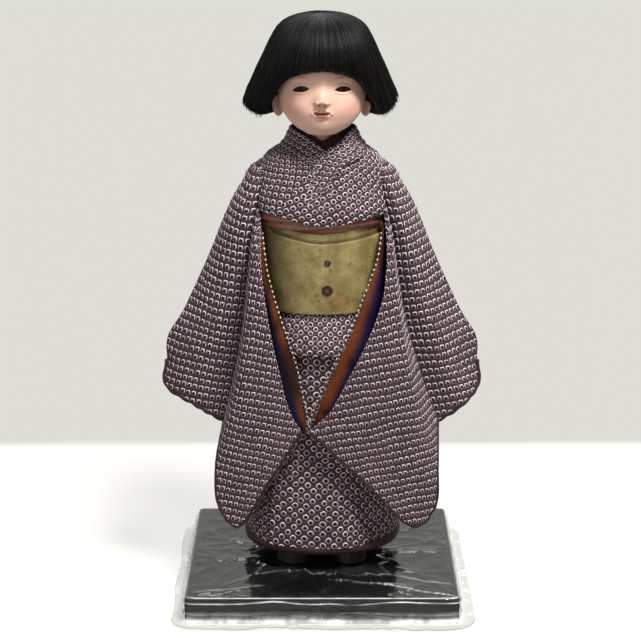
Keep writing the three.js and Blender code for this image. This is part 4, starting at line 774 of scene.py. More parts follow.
class DOLL_OT_stand(bpy.types.Operator):
    """Black board and the crinkled clear film round it"""

    bl_idname = "doll.stand"
    bl_label = "Stand"

    def execute(self, context):
        colour = context.scene.doll_stage.lacquer[:]
        lacquer = speckled("black_lacquer_gloss", colour, roughness=0.14, scale=30, spread=0.25, bump=0.02,
                           specular_ior_level=0.3)
        refinish(lacquer, "stand_board")
        self.film()
        return {"FINISHED"}

    def film(self):
        """Film: a profile from a ragged opening round the feet over the board's edge, down its side and out along the
        floor, carried round the board's outline; creases are thin ridges. A second wall lies just inside."""
        half_x, half_y, top = STAND_CORNER
        turn = circle(FILM_COLUMNS)
        x, y = np.cos(turn), np.sin(turn)
        reach = sum(np.abs(place / half) ** BOARD_BOXINESS for place, half in ((x, half_x), (y, half_y)))
        x, y = (place * reach ** (-1 / BOARD_BOXINESS) for place in (x, y))
        face = np.stack([np.sign(place) * np.abs(place / half) ** (BOARD_BOXINESS - 1) / half
                         for place, half in ((x, half_x), (y, half_y))])
        face = face / np.hypot(*face)
        way = turn * BOARD_REACH
        profile = spline(FILM_PROFILE, np.linspace(0, 1, FILM_ROWS))
        out, fall = profile[:, :1], profile[:, 1:]
        rng = np.random.default_rng(4)
        ridges = 0
        for _ in range(14):
            pitch, lean, phase = rng.uniform(0.01, 0.06), rng.uniform(-0.12, 0.12), rng.uniform(0, TAU)
            ridges = ridges + (1 - np.abs(np.sin(pitch * way + lean * (fall * 2.5 + out) + phase))) ** 7
        side = smoothstep(0.4, -1.5, fall) * smoothstep(-20, -18, fall)
        foot = smoothstep(3, 9, out)
        lines = 1.1 * bell(fall + 3.4 + 0.8 * np.sin(way / 21) + 0.5 * np.sin(way / 9), 0.8)
        lines = lines + 1.4 * bell(fall + 11 + 1.3 * np.sin(way / 33 + 1) + 0.5 * np.sin(way / 12), 0.9)
        ragged = ripple(way / 9, 0, 5) * 5 + ripple(way / 3, 0, 6) * 2
        inward = 1 + (np.clip(out, None, 0) - ragged * smoothstep(-8, -42, out)) / 80
        outward = np.clip(out, 0, None) * (1 + 0.12 * ripple(way / 14, 0, 7)) + side * (lines + 0.25 * ridges)
        lift = 0.3 * ridges * smoothstep(0.2, 0.35, fall) * smoothstep(-1, -6, out)
        lift = lift + foot * (0.7 * ridges + 0.8 * (1 + ripple(way / 11, 0, 8)))
        height = np.clip(top + fall + lift, FILM_FLOOR + 0.3, None)
        outer = surface(x * inward + face[0] * outward, y * inward + face[1] * outward, height)
        inner = outer + normals(outer) * FILM_GAUGE
        count, rim = FILM_ROWS * FILM_COLUMNS, np.arange(FILM_COLUMNS)
        skin = grid_faces(FILM_ROWS, FILM_COLUMNS, ring=True)
        low, after = rim + count - FILM_COLUMNS, np.roll(rim, -1)
        low_after = np.roll(low, -1)
        edges = np.vstack([np.stack([after, rim, rim + count, after + count], -1),
                           np.stack([low, low_after, low_after + count, low + count], -1)])
        # Painted highlights and a pale veil of the film, carried in the tint of its outer wall
        pale = self.painted_highlights_and_haze(outer, out, fall, way, -face[1], ridges).reshape(-1, 1) * WHITE
        make_piece("clear_film_wrap", np.stack([outer, inner]), [skin[:, ::-1], skin + count, edges[:, ::-1]], "stand",
                   "clear_film", clear_film("clear_film_painted_highlights"), "clear_wrap", colours=np.stack([pale, 0 * pale]))

    def painted_highlights_and_haze(self, points, out, fall, way, facing, ridges):
        """Painted highlights of the film, as a sum of bells: its upper edge, two broken lines round its side, its turn
        at the floor, its ragged opening and the long creases on top, brighter on the sides that face the front; with a
        pale veil low on its side."""
        wall = 1 - smoothstep(3, 9, out)
        broken = smoothstep(-0.5, 0.6, ripple(way / 8, 0, 12))
        # Painted highlights are stronger on the sides of the film that face the front
        near = 0.25 + 0.75 * smoothstep(0.3, 0.9, facing)
        high_line = 3.2 + 0.9 * np.sin(way / 21) + 0.6 * np.sin(way / 9)
        low_line = 11.6 + 1.0 * np.sin(way / 33 + 1) + 0.5 * np.sin(way / 12)
        pale = 0.8 * near * bell(fall - 0.1, 0.22) * (out > -1.5)
        pale = pale + (0.25 + 0.75 * broken) * bell(fall + high_line, 0.3)
        pale = pale + (1.0 - 0.7 * broken) * bell(fall + low_line, 0.36)
        pale = pale + 0.3 * smoothstep(-15, -17, fall) * wall + 0.4 * bell(out - 2.6, 0.8) * (fall < -14)
        pale = pale + 0.15 * (1 - wall) * smoothstep(1.2, 2.2, ridges)
        pale = pale + 0.4 * near * (0.5 + 0.5 * broken) * smoothstep(-9, -15, fall) * wall
        pale = pale + 0.25 * bell(out + 41, 1.0) * broken
        for x0, y0, x1, y1, strength in FILM_CREASE_HIGHLIGHTS:
            long = math.hypot(x1 - x0, y1 - y0)
            x, y = points[..., 0] - x0, points[..., 1] - y0
            along = (x * (x1 - x0) + y * (y1 - y0)) / long**2
            aside = (x * (y1 - y0) - y * (x1 - x0)) / long
            within = smoothstep(-0.02, 0.15, along) * smoothstep(1.02, 0.85, along) * smoothstep(-0.1, 0.2, fall)
            pale = pale + strength * within * bell(aside + 0.9 * np.sin(9 * along), 0.7)
        return np.clip(pale, 0, 1)


# Feet, padding and the dark layers

class DOLL_OT_underdress(bpy.types.Operator):
    """Feet, stuffed body, under robe, inner collar and the padded hem roll"""

    bl_idname = "doll.underdress"
    bl_label = "Underdress"

    def execute(self, context):
        self.bare_nodes()
        self.stuffing()
        self.under_robe()
        self.hem_roll()
        return {"FINISHED"}

    def bare_nodes(self):
        """Finishes of the parts that stay as they are in the frame."""
        wood = speckled("paulownia_wood", (0.45, 0.27, 0.12), roughness=0.6, scale=40)
        wire = speckled("drawn_wire", (0.42, 0.42, 0.43), roughness=0.35, scale=90, metallic=1.0)
        stiff = speckled("stiff_interlining", (0.6, 0.54, 0.44), roughness=0.85, scale=200)
        limb = speckled("shell_white_paint", (0.74, 0.62, 0.53), roughness=0.4, scale=60, spread=0.08, bump=0.05)
        skin = speckled("tinted_shell_paint", (0.66, 0.42, 0.31), roughness=0.4, scale=60, spread=0.06, bump=0.05)
        lacquer = speckled("sandal_black_lacquer", (0.012, 0.011, 0.011), roughness=0.28, scale=60, spread=0.2,
                           bump=0.04)
        velvet = speckled("strap_velvet", (0.12, 0.012, 0.014), roughness=0.8, scale=200, spread=0.3, bump=0.3,
                          sheen_weight=0.4)
        refinish(wood, "neck_socket", "neck_dowel")
        refinish(wire, "shoulder_wire", "left_foot_peg", "right_foot_peg")
        refinish(stiff, "obi_board")
        for finish, part in ((limb, "leg"), (skin, "forearm"), (lacquer, "sandal"), (velvet, "sandal_strap")):
            refinish(finish, f"left_{part}", f"right_{part}")

    def stuffing(self):
        """Stuffed body and wadding: the robe's section drawn in by the layers over it, closed by domed ends. The upper
        arms are bent tubes."""
        cotton = speckled("undyed_cotton", (0.62, 0.54, 0.42), roughness=0.9, scale=150, spread=0.15, bump=0.3)
        middle = np.array([0, SET_BACK])
        for name, node_name, low, high in (
                ("body_stuffing_torso", "torso_core", 192.5, SHOULDER_HEIGHT),
                ("skirt_wadding", "skirt_padding", 40, 191)):
            height = np.linspace(low, high, 60)[:, None]
            ends = 1 - 0.12 * (bell(height - low, 4) + bell(height - high, 4))
            points = robe_point(circle(72), height, PADDING_IN)
            points[..., :2] = middle + (points[..., :2] - middle) * ends[..., None]
            points, faces = capped(points, [0, SET_BACK, low + FLOOR], [0, SET_BACK, high + FLOOR])
            piece = make_piece(name, points, faces, "figure", "body_stuffing", cotton, node_name)
        for side, sizes in SLEEVES.items():
            start, end = cad_box(f"{side}_upper_arm")
            sign = sizes["sign"]
            near, far = (start[0], end[0]) if sign > 0 else (end[0], start[0])
            path = spline([
                [near, SET_BACK, FLOOR + ARMHOLE_HEIGHT], [sign * SEAM_X, SET_BACK, FLOOR + ARMHOLE_HEIGHT],
                [far - sign * 4, (start[1] + end[1]) / 2 - 2, start[2] + 5],
            ], np.linspace(0, 1, 30))
            arm = make_piece(f"{side}_arm_stuffing", *tube(path, 4.2, 14), f"{side}_arm", "body_stuffing", cotton,
                             f"{side}_upper_arm")

    def under_robe(self):
        """Under robe just inside the robe, and the inner collar: a band whose top edge dips to a V in front."""
        angle = circle(120)
        points = robe_point(angle, np.linspace(24, 315, 90)[:, None], LINING_IN)
        robe = make_piece("under_robe_silk", points, grid_of(points, ring=True), "figure", "dark_silk",
                          dark_silk(), "under_robe")
        declare_cloth(robe, 340, 300)
        share, foot = np.linspace(0, 1, 16)[:, None], 310
        top = np.interp(np.abs(from_front(angle)), [0, 0.12, 0.5, 0.9, 1.3, 2, math.pi],
                        [321.2, 321.6, 325, 328.6, 330.6, 331.6, 332])
        offset = -2.2 + 1.3 * np.sin(np.pi * share) - 2.6 * share
        points = robe_point(angle, foot + (top - foot) * share, offset)
        collar = make_piece("inner_collar_silk", points, grid_of(points, ring=True), "figure", "dark_silk",
                            dark_silk(), "under_collar")
        declare_cloth(collar, 142, 18)

    def hem_roll(self):
        """Padded roll under the hem: a round section, flatter below, carried round the robe's foot."""
        angle, turn = circle(240), circle(22).T
        swell = 1 + 0.1 * np.sin(7 * angle + 1) + 0.07 * np.sin(13 * angle)
        points = robe_point(angle, HEM_HEIGHT + 0 * turn, (4.4 * np.cos(turn) - 2.0) * swell)
        points[..., 2] = FLOOR + 16.2 + 4.3 * np.sin(turn) * np.where(np.sin(turn) < 0, 0.85, 1)
        roll = make_piece("hem_roll_padded", points, grid_of(points, ring=True, loop=True), "figure", "dark_silk",
                          dark_silk(), "hem_roll", flip=True)


# Robe body

class DOLL_OT_robe(bpy.types.Operator):
    """Back, both fronts, collars and the tuck under the sash, in tie-dyed silk"""

    bl_idname = "doll.robe"
    bl_label = "Robe"

    def execute(self, context):
        cloth = context.scene.doll_cloth
        self.pitch, self.relief = cloth.robe_pitch / MM, cloth.relief / MM
        back = self.panel("robe_back", (0, math.pi, 120), self.back_profile, seed=11, chest_turn=0, chest_pitch=0.76)
        declare_cloth(back, 190, 320)
        under = self.panel("robe_right_front", (-math.pi, UNDER_EDGE, 130), self.under_profile, seed=12,
                           chest_turn=-3, chest_pitch=0.7)
        declare_cloth(under, 150, 320)
        over = self.panel("robe_left_front", (OVER_EDGE, 0, 150), self.over_profile, seed=13, chest_turn=31,
                          chest_pitch=0.74)
        declare_cloth(over, 150, 320)
        self.tuck()
        self.collar("collar_right", lean=-1, keep=8, offset=1.2, seed=14)
        self.collar("collar_left", lean=1, keep=10, offset=2.6, seed=15)
        return {"FINISHED"}

    def back_profile(self, angle, share):
        """Back: straight up from the hem to the neck, with a slight blouse over the sash."""
        height = HEM_HEIGHT + (NECK_HEIGHT - HEM_HEIGHT) * share
        return angle, height, 2.2 * bell(height - 278, 13) * np.abs(np.sin(angle))

    def front_profile(self, share, low_fold):
        """Front panel: the skirt up to the sash, then hidden behind it, then the chest, which blouses over the scarf
        and turns in at its lower fold. Gives height and swell."""
        hidden = np.clip((share - SKIRT_SHARE) / (HIDDEN_SHARE - SKIRT_SHARE), 0, 1)
        fold = np.sin(np.clip((share - HIDDEN_SHARE) / (FOLD_SHARE - HIDDEN_SHARE), 0, 1) * np.pi / 2)
        chest = np.clip((share - FOLD_SHARE) / (1 - FOLD_SHARE), 0, 1)
        height = np.select([share < SKIRT_SHARE, share < HIDDEN_SHARE, share < FOLD_SHARE], [
            HEM_HEIGHT + (WAIST_HEIGHT - HEM_HEIGHT) * share / SKIRT_SHARE,
            WAIST_HEIGHT + (low_fold + FOLD_RISE - WAIST_HEIGHT) * hidden,
            low_fold + FOLD_RISE * (1 - fold),
        ], low_fold + (NECK_HEIGHT - low_fold) * chest)
        return height, BLOUSE * np.where(chest > 0, 1 - smoothstep(0.0, 0.75, chest), fold)

    def under_profile(self, angle, share):
        """Right front: above the crossing its free edge mirrors the over front's."""
        height, swell = self.front_profile(share, UNDER_FOLD + 7 * smoothstep(FRONT - 0.1, FRONT - 1.1, angle))
        limit = 0.05 - math.pi - over_edge(np.maximum(height, CROSSING_HEIGHT))
        end = np.where(height > CROSSING_HEIGHT, np.minimum(limit, UNDER_EDGE), UNDER_EDGE)
        angle = -math.pi + (angle + math.pi) * (end + math.pi) / (UNDER_EDGE + math.pi)
        return angle, height, swell * smoothstep(-math.pi, -math.pi + 0.5, angle)

    def over_profile(self, angle, share):
        """Left front: its free edge follows the collar above the sash, and it lies over the right front."""
        low_fold = OVER_FOLD + 5 * smoothstep(FRONT + 0.1, FRONT + 1.1, angle)
        low_fold = low_fold + 7 * smoothstep(FRONT - 0.1, FRONT - 0.8, angle)
        height, swell = self.front_profile(share, low_fold)
        edge = np.where(height > CHEST_HEIGHT, over_edge(height) + 0.02, OVER_EDGE)
        start = np.maximum(edge, FRONT - 0.95)
        angle = angle + (start - OVER_EDGE) * (1 - (angle - OVER_EDGE) / -OVER_EDGE)
        lift = OVER_OUT * (1 - smoothstep(FRONT + 0.35, FRONT + 0.8, angle))
        return angle, height, swell * smoothstep(0, -0.5, angle) + lift

    def panel(self, node_name, span, profile, seed, chest_turn, chest_pitch):
        """Panel: angle across and share of the height up its profile, with nubs along its normals."""
        first, last, columns = span
        angle = np.linspace(first, last, columns)[None] + np.zeros((PANEL_ROWS, 1))
        share = np.linspace(0, 1, PANEL_ROWS)[:, None] + np.zeros((1, columns))
        turned, height, offset = profile(angle, share)
        folds = 0.9 * np.sin(5 * turned + 1.3) * smoothstep(200, 40, height)
        points = robe_point(turned, height, offset + folds)
        across = around(turned, height)
        climb = np.gradient(height[:, columns // 2])
        slope = np.clip(np.abs(np.gradient(points[:, columns // 2, 1]) / climb), 0, 2)
        on_chest = height > CHEST_HEIGHT
        over_shoulder = height + 0.35 * np.clip(height - SHOULDER_HEIGHT, 0, None)
        down = np.where(on_chest, over_shoulder, np.cumsum(np.hypot(1, slope) * climb)[:, None])
        chest = grain_lattice(across, down, self.pitch * 0.72, self.pitch * chest_pitch, math.radians(chest_turn), seed)
        skirt = grain_lattice(across, down, self.pitch, self.pitch, math.radians(43), seed)
        lattice = np.where(on_chest[..., None], chest, skirt)
        points = points + nubs(points, lattice, self.relief)
        return make_piece(f"{node_name}_silk", points, grid_of(points), "figure", "robe_silk",
                          robe_silk("body"), node_name, uv=lattice)

    def tuck(self):
        """Tuck: a fold of the robe round the hips, full below and rolled under at its lower edge. A whole number of
        grains goes round it."""
        rolled = 0.14
        angle, share = circle(360), np.linspace(0, 1, 70)[:, None]
        height = TUCK_HEIGHT + np.where(share < rolled, -4.0 * np.sin(np.pi * share / rolled),
                                        40 * (share - rolled) / (1 - rolled))
        full = 4.9 + 3.6 * bell(from_front(angle), 0.8)
        offset = np.where(share < rolled, 2.3 + (full - 2.3) * np.sin(share / rolled * np.pi / 2),
                          full + (3.9 - full) * smoothstep(0.2, 0.8, share))
        wave = 0.5 * np.sin(6 * angle + 0.6) + 0.35 * np.sin(11 * angle)
        points = robe_point(angle, height + 0.7 * wave, offset + 0.5 * wave)
        lengths = run_length(np.concatenate([points, points[:, :1]], 1), 1)
        girth = lengths[:, -1:]
        pitch, diagonal = 0.82 * self.pitch, math.sqrt(2)
        cells = np.round(girth.mean() / (pitch * diagonal))
        across = lengths[:, :-1] / girth * cells * diagonal * pitch
        lattice = grain_lattice(across, run_length(points, 0), pitch, pitch, math.radians(45), wander=0)
        points = points + nubs(points, lattice, self.relief)
        points = np.concatenate([points, points[:, :1]], 1)
        lattice = np.concatenate([lattice, lattice[:, :1] + [cells, -cells]], 1)
        piece = make_piece("waist_tuck_silk", points, grid_of(points), "figure", "robe_silk", robe_silk("body"),
                           "waist_tuck", uv=lattice)
        declare_cloth(piece, 290, 48)

    def collar(self, node_name, lean, keep, offset, seed):
        """Collar: a strip whose free edge runs round the neck, dips to the crossing and goes down to the sash; the
        strip hangs square to that edge and is slightly crowned."""
        path = spline(COLLAR_EDGE[::-1][:keep] * [1, NECK_RADIUS], np.linspace(0, 1, 220)) / [1, NECK_RADIUS]
        height, turn = path.T
        angle = FRONT + turn + lean * 0.14 * smoothstep(1.2, 0.4, np.abs(turn))
        reach = np.linalg.norm(robe_point(angle, height, 0)[:, :2] - [0, SET_BACK], axis=1)
        step, climb = np.gradient(angle) * reach, np.gradient(height)
        run = np.hypot(step, climb)
        place = np.linspace(-0.05, 1.05, 34)[:, None]
        share = np.clip(place, 0, 1)
        rolled = np.clip(20 * np.abs(place - 0.5) - 10, 0, 1)
        wide = angle - climb / run * (COLLAR_WIDTH * share / reach)
        high = height + step / run * COLLAR_WIDTH * share
        crown = 0.9 * np.sin(np.pi * share) ** 0.5 + 5.0 * smoothstep(CROSSING_HEIGHT, 270, high) - 1.3 * rolled
        points = robe_point(wide, high, offset + crown)
        points[..., 0] *= lean
        lattice = grain_lattice(run_length(points, 1), run_length(points, 0), COLLAR_GRAIN, COLLAR_WIDTH / 3 * 1.05,
                                seed=seed)
        points = points + lean * nubs(points, lattice, self.relief)
        piece = make_piece(f"{node_name}_silk", points, grid_of(points), "figure", "robe_silk", robe_silk("body"),
                           node_name, uv=lattice, flip=lean < 0)
        declare_cloth(piece, 135, 16)


# Sleeves

def armhole(degrees):
    """Points of the armhole's circle, by the angle from its top towards the front."""
    angle = np.radians(degrees)
    return surface(SEAM_X, -ARMHOLE_RADIUS * np.sin(angle), ARMHOLE_HEIGHT + ARMHOLE_RADIUS * np.cos(angle))


def blended_patch(inner, outer, top, lower, u, v, ease, reach):
    """Four-sided patch: its two long edges blended across, its armhole edge and lower edge blended along, less the
    blend of its corners. Depth eases across by a power, and the lower edge's pull grows by a power."""
    share = np.stack([u, u**ease, u], -1)[None]
    pull = (v**reach)[:, None, None]
    inner, outer, lower = (np.asarray(edge, float) for edge in (inner, outer, lower))
    left, right = spline(inner, v)[:, None], spline(outer, v)[:, None]
    sides = (1 - share) * left + share * right
    ends = (1 - pull) * top[None] + pull * spline(lower, u)[None]
    corners = (1 - pull) * ((1 - share) * inner[0] + share * outer[0])
    corners = corners + pull * ((1 - share) * inner[-1] + share * outer[-1])
    return sides + ends - corners


class SleeveShape:
    """One hanging sleeve: a front face of two patches either side of a valley fold, and a back face behind it."""

    def __init__(self, side, sizes):
        """Works out the points of the edges that the patches hang between."""
        self.sizes = sizes
        self.open_edges = OPEN_EDGES[side]
        furi_top, valley_top, shoulder = (armhole(float(degrees)) for degrees in (ARMHOLE_REACH, VALLEY_START, 0))
        tip = [sizes["tip"], 2 - BAG_FRONT, FURI_LOW]
        notch = [sizes["valley"], -VALLEY_DEPTH, NOTCH_HEIGHT]
        end = [SLEEVE_REACH, -5, TIP_HEIGHT]

        def falls(top, low, share):
            """Height at a share of the way down from a point."""
            return top[2] + (low - top[2]) * share

        self.furi = [furi_top, [sizes["upper"], -36, falls(furi_top, FURI_LOW, 0.14)],
                     [sizes["middle"], 2 - BAG_FRONT, falls(furi_top, FURI_LOW, 0.53)], tip]
        self.valley = [valley_top, [ARMPIT_X, 3 - VALLEY_DEPTH, falls(valley_top, NOTCH_HEIGHT, 0.14)],
                       [sizes["fold"], -VALLEY_DEPTH, falls(valley_top, NOTCH_HEIGHT, 0.56)], notch]
        self.outer = [shoulder] + [
            [SEAM_X + (SLEEVE_REACH - SEAM_X) * reach, -5 * fall, falls(shoulder, TIP_HEIGHT, fall)]
            for reach, fall in OUTER_LINE] + [end]
        self.bag_low = [tip, [sizes["diagonal"], -BAG_FRONT, (FURI_LOW + SLEEVE_LOW) / 2],
                        [sizes["low"], 2 - BAG_FRONT, SLEEVE_LOW],
                        [sizes["outer"] - 2, 6 - BAG_FRONT, SLEEVE_LOW + 15],
                        [sizes["outer"], 10 - BAG_FRONT, SLEEVE_LOW + 45], notch]
        self.wing_low = [notch, [sizes["cuff"], -23, NOTCH_HEIGHT + 12.75],
                         [SLEEVE_REACH - 3, -11.5, TIP_HEIGHT - 17], end]

    def open_reach(self, v):
        """Reach of the two open edges, front and back, down the sleeve."""
        return soft_table(self.open_edges, spline(self.furi, v)[:, 2], EDGE_SOFTNESS)

    def front(self, u, v):
        """Front face: the bag inside the valley fold and the wing outside it, each a blended patch with its own swell,
        and the bag's open edge moved to its table."""
        down = v[:, None]
        bag_u, wing_u = u[u < 0.5] / 0.5, (u[u >= 0.5] - 0.5) / 0.5
        bag_top = armhole(ARMHOLE_REACH + (VALLEY_START - ARMHOLE_REACH) * bag_u)
        wing_top = armhole(VALLEY_START * (1 - wing_u))
        bag = blended_patch(self.furi, self.valley, bag_top, self.bag_low, bag_u, v, 3.6, 3)
        wing = blended_patch(self.valley, self.outer, wing_top, self.wing_low, wing_u, v, 1, 1.5)
        wing[..., 1] -= 5 * np.sin(np.pi * wing_u) * np.clip(np.sin(np.pi * down), 0, 1) ** 0.6
        cap = wing_u**1.2 * np.sin(np.pi * np.clip(down / 0.24, 0, 1)) ** 1.5
        wing += cap[..., None] * [1.5, 0, 1.6]
        wing[..., 0] += 3.6 * bell(wing[..., 2] - TIP_HEIGHT - 21, 12) * wing_u**4
        wing[..., 0] -= 3.0 * bell(np.hypot(wing[..., 0] - SLEEVE_REACH, wing[..., 2] - TIP_HEIGHT), 8)
        bag[..., 1] -= 1.6 * np.sin(np.pi * bag_u) ** 1.2 * smoothstep(0.1, 0.5, down)
        bag[..., 1] -= 0.9 * np.sin(3 * np.pi * bag_u + 2 * down) * smoothstep(0.2, 0.6, down)
        shift = self.open_reach(v)[:, :1] - spline(self.furi, v)[:, :1]
        bag[..., 0] += shift * (1 - bag_u) ** 2
        return np.concatenate([bag, wing], 1)

    def back(self, u, v):
        """Back face: the front face moved back by the armhole's depth at the top and by the bag's room lower down, its
        open edge held at the armpit and then moved to its table."""
        points, down = self.front(u, v), v[:, None]
        start = -2 * self.front(u, np.zeros(1))[..., 1]
        share = np.clip((u - 0.5) / 0.5, 0, None)
        room = (7.5 + 12 * bell(u - 0.4, 0.2)) * (1 - share) + 24 * np.sin(np.pi * share) ** 0.8
        points[..., 1] += start + (room - start) * smoothstep(0, 0.28, down)
        edge = np.clip(1 - u / 0.5, 0, None)
        hold = 1 - smoothstep(0.12, 0.34, down)
        points[..., 0] += np.clip(ARMPIT_X - points[..., 0], 0, None) * edge * hold
        front_edge, back_edge = np.split(self.open_reach(v), 2, 1)
        first = front_edge + np.clip(ARMPIT_X - front_edge, 0, None) * hold
        points[..., 0] += (back_edge - first) * edge**2
        return points

    def placed(self, points):
        """Into the doll's place and onto its side."""
        return points * [self.sizes["sign"], 1, 1] + [0, SET_BACK, FLOOR]


class DOLL_OT_sleeves(bpy.types.Operator):
    """Both hanging sleeves with their linings, beaded edges and dark cuffs"""

    bl_idname = "doll.sleeves"
    bl_label = "Sleeves"

    def execute(self, context):
        self.cloth = context.scene.doll_cloth
        self.pitches = (self.cloth.sleeve_pitch_across / MM, self.cloth.sleeve_pitch_down / MM)
        for seed, (side, sizes) in enumerate(SLEEVES.items()):
            shape = SleeveShape(side, sizes)
            self.outside(side, shape, 30 + seed)
            self.lining(side, shape, 40 + seed)
            self.edges(side, shape)
        return {"FINISHED"}

    def lattice(self, points, valley, seed):
        """Grains of a sleeve: across by the level distance from the valley line, down by height, the rows rising a
        little towards the outer side."""
        line = points[:, valley]
        slant = np.clip(np.gradient(line[:, 0]) / np.minimum(np.gradient(line[:, 2]), -1e-3), -1, 1)
        step = np.diff(points, axis=1)
        level = np.hypot(step[..., 0] - slant[:, None] * step[..., 2], step[..., 1])
        across = np.concatenate([np.zeros((len(points), 1)), np.cumsum(level, 1)], 1)
        across = across - across[:, valley:valley + 1]
        across = np.where(across > 0, 0.84 * across, across)
        rise = 0.17 * (points[..., 0] - line[:, None, 0])
        return grain_lattice(across, (rise - points[..., 2]) * 1.02, *self.pitches, seed=seed)

    def outside(self, side, shape, seed):
        """Outer cloth: front face to the outer line and round to the back face, nubs along the normals, and the bag's
        foot closed by a strip that bulges down between the faces."""
        valley, head_rows, strip_rows = 104, 5, 7
        v = np.linspace(0, 1, 250)
        front_u = np.concatenate([np.linspace(0, 0.5, valley + 1)[:-1], np.linspace(0.5, 1, 72)])
        back_u = np.concatenate([np.linspace(1, 0.5, 46)[1:-1], np.linspace(0.5, 0, 62)])
        points = np.concatenate([shape.front(front_u, v), shape.back(back_u[::-1], v)[:, ::-1]], 1)
        for _ in range(3):
            points[1:, 1:-1] = 0.5 * points[1:, 1:-1] + 0.25 * (points[1:, :-2] + points[1:, 2:])
        depth = np.arange(head_rows, 0, -1)[:, None, None]
        centre = np.array([SEAM_X, 0, ARMHOLE_HEIGHT])
        head = centre + (points[:1] - centre) * (1 - 0.03 * depth) - depth * [1.4, 0, 0]
        points = np.concatenate([head, points])
        down = np.concatenate([np.zeros(head_rows), v])[:, None]
        lattice = self.lattice(points, valley, seed)
        points = points - nubs(points, lattice, self.cloth.relief / MM * smoothstep(0, 0.03, down))
        rows, columns = points.shape[:2]
        back_valley = len(front_u) + int(np.argmin(np.abs(back_u - 0.5)))
        pair = np.linspace(columns - 1, back_valley, valley + 1).round().astype(int)
        near, far = points[-1, :valley + 1], points[-1, pair]
        share = np.linspace(0, 1, strip_rows + 2)[1:-1, None, None]
        strip = near + (far - near) * share
        strip[..., 2] -= 3.0 * np.sin(np.pi * share[..., 0])
        deep = run_length(np.concatenate([near[None], strip]), 0)[1:] / self.pitches[1]
        strip_grain = lattice[-1, :valley + 1] + np.stack([0 * deep, deep], -1)
        index = np.arange(rows * columns, rows * columns + strip_rows * (valley + 1)).reshape(strip_rows, -1)
        last_row = (rows - 1) * columns
        index = np.vstack([np.arange(valley + 1) + last_row, index, pair + last_row])
        foot = np.stack([index[:-1, :-1], index[:-1, 1:], index[1:, 1:], index[1:, :-1]], -1).reshape(-1, 4)
        piece = make_piece(
            f"{side}_sleeve_silk", shape.placed(np.vstack([points.reshape(-1, 3), strip.reshape(-1, 3)])),
            [grid_faces(rows, columns), foot], f"{side}_arm", "robe_silk", robe_silk("sleeve"), f"{side}_sleeve",
            uv=np.vstack([lattice.reshape(-1, 2), strip_grain.reshape(-1, 2)]), flip=shape.sizes["sign"] > 0)
        declare_cloth(piece, 270, 280)

    def lining(self, side, shape, seed):
        """Lining: both faces drawn in towards each other, its tint warm at the open edge and deep further in, with
        clouds along its length."""
        v = np.linspace(0.0, 0.992, 130)
        u = np.concatenate([np.linspace(0.006, 0.1, 16), np.linspace(0.115, 1, 30)])
        down = v[:, None]
        front, back = shape.front(u, v), shape.back(u, v)
        gap = np.clip(back[..., 1] - front[..., 1], 0.01, None)
        draw = np.minimum(1.7 * smoothstep(0, 0.12, down), gap * 0.4)
        front[..., 1] += draw
        back[..., 1] -= draw
        back = back[:, ::-1]
        points = np.concatenate([front, back], 1)
        front_edge, back_edge = np.split(shape.open_reach(v), 2, 1)
        shown = (back[..., 0] - back_edge) / np.maximum(front_edge - back_edge, 3)
        shown = np.concatenate([np.ones(front.shape[:2]), shown], 1)
        start = np.interp(down, [0, 0.3, 0.45, 0.6, 0.9, 1], shape.sizes["shading"])
        deep = smoothstep(start - 0.22, start + 0.22, shown + 0.12 * ripple(down * 9, shown, seed))
        tint = between(np.array(self.cloth.lining), np.array(self.cloth.lining_deep), deep)
        stain = smoothstep(-0.6, 0.5, ripple(down * 17 + 3, shown * 2.2, seed + 9))
        for at, place in shape.sizes["stains"]:
            stain = np.maximum(stain, bell(down - at, 0.022) * bell(shown - place, 0.35))
        tint = toned(tint, stain, [0.736, 0.8, 0.8])
        satin = shared("lining_silk_shaded", tinted, roughness=0.5, grain=300, specular_ior_level=0.12)
        piece = make_piece(f"{side}_lining_silk", shape.placed(points), grid_of(points), f"{side}_arm",
                           "lining_silk", satin, f"{side}_sleeve_lining", colours=tint, flip=shape.sizes["sign"] < 0)
        declare_cloth(piece, 260, 280)

    def edges(self, side, shape):
        """Beaded rims along both open edges, a pale bead for each tied grain, and the dark roll round the cuff."""
        sides = 8
        for name, face, size, pale, brown in (
                ("front", shape.front, 0.45, [0.32, 0.26, 0.27], [0.07, 0.05, 0.058]),
                ("back", shape.back, 0.52, [0.72, 0.6, 0.48], [0.05, 0.02, 0.01])):
            path = face(np.zeros(1), np.linspace(0.05, 1, 700))[:, 0]
            if name == "back":
                path = path[path[:, 2] < BEAD_TOP] + [-0.5, -0.6, 0]
            bead = np.cos(np.pi * run_length(path, 0) / BEAD_PITCH) ** 2
            points, faces = tube(shape.placed(path), size * (0.7 + 0.5 * bead**2), sides)
            tint = between(np.array(brown), np.array(pale), smoothstep(0.55, 0.85, bead))
            tint = np.vstack([np.repeat(tint, sides, 0), tint[:1], tint[-1:]])
            make_piece(f"{side}_sleeve_{name}_edge", points, faces, f"{side}_arm", "robe_silk",
                       shared("tied_edge_beads", tinted, roughness=0.7, grain=300), colours=tint)
        u = np.linspace(0, 1, 150)
        back_u = u[:74:-1]
        front, back = shape.front(u, np.ones(1))[0], shape.back(back_u, np.ones(1))[0]
        path = np.vstack([front, back[1:]])
        along = run_length(path, 0)[:, None]
        path = path + [0, 0, 0.5] * np.sin(along * 0.62 + np.sin(along * 0.13))
        girth = 0.95 + 0.4 * smoothstep(0.45, 0.6, np.concatenate([u, back_u[1:]]))
        make_piece(f"{side}_cuff_roll", *tube(shape.placed(path), girth, 12), f"{side}_arm", "dark_silk", dark_silk(),
                   f"{side}_cuff_edge")


# Sash

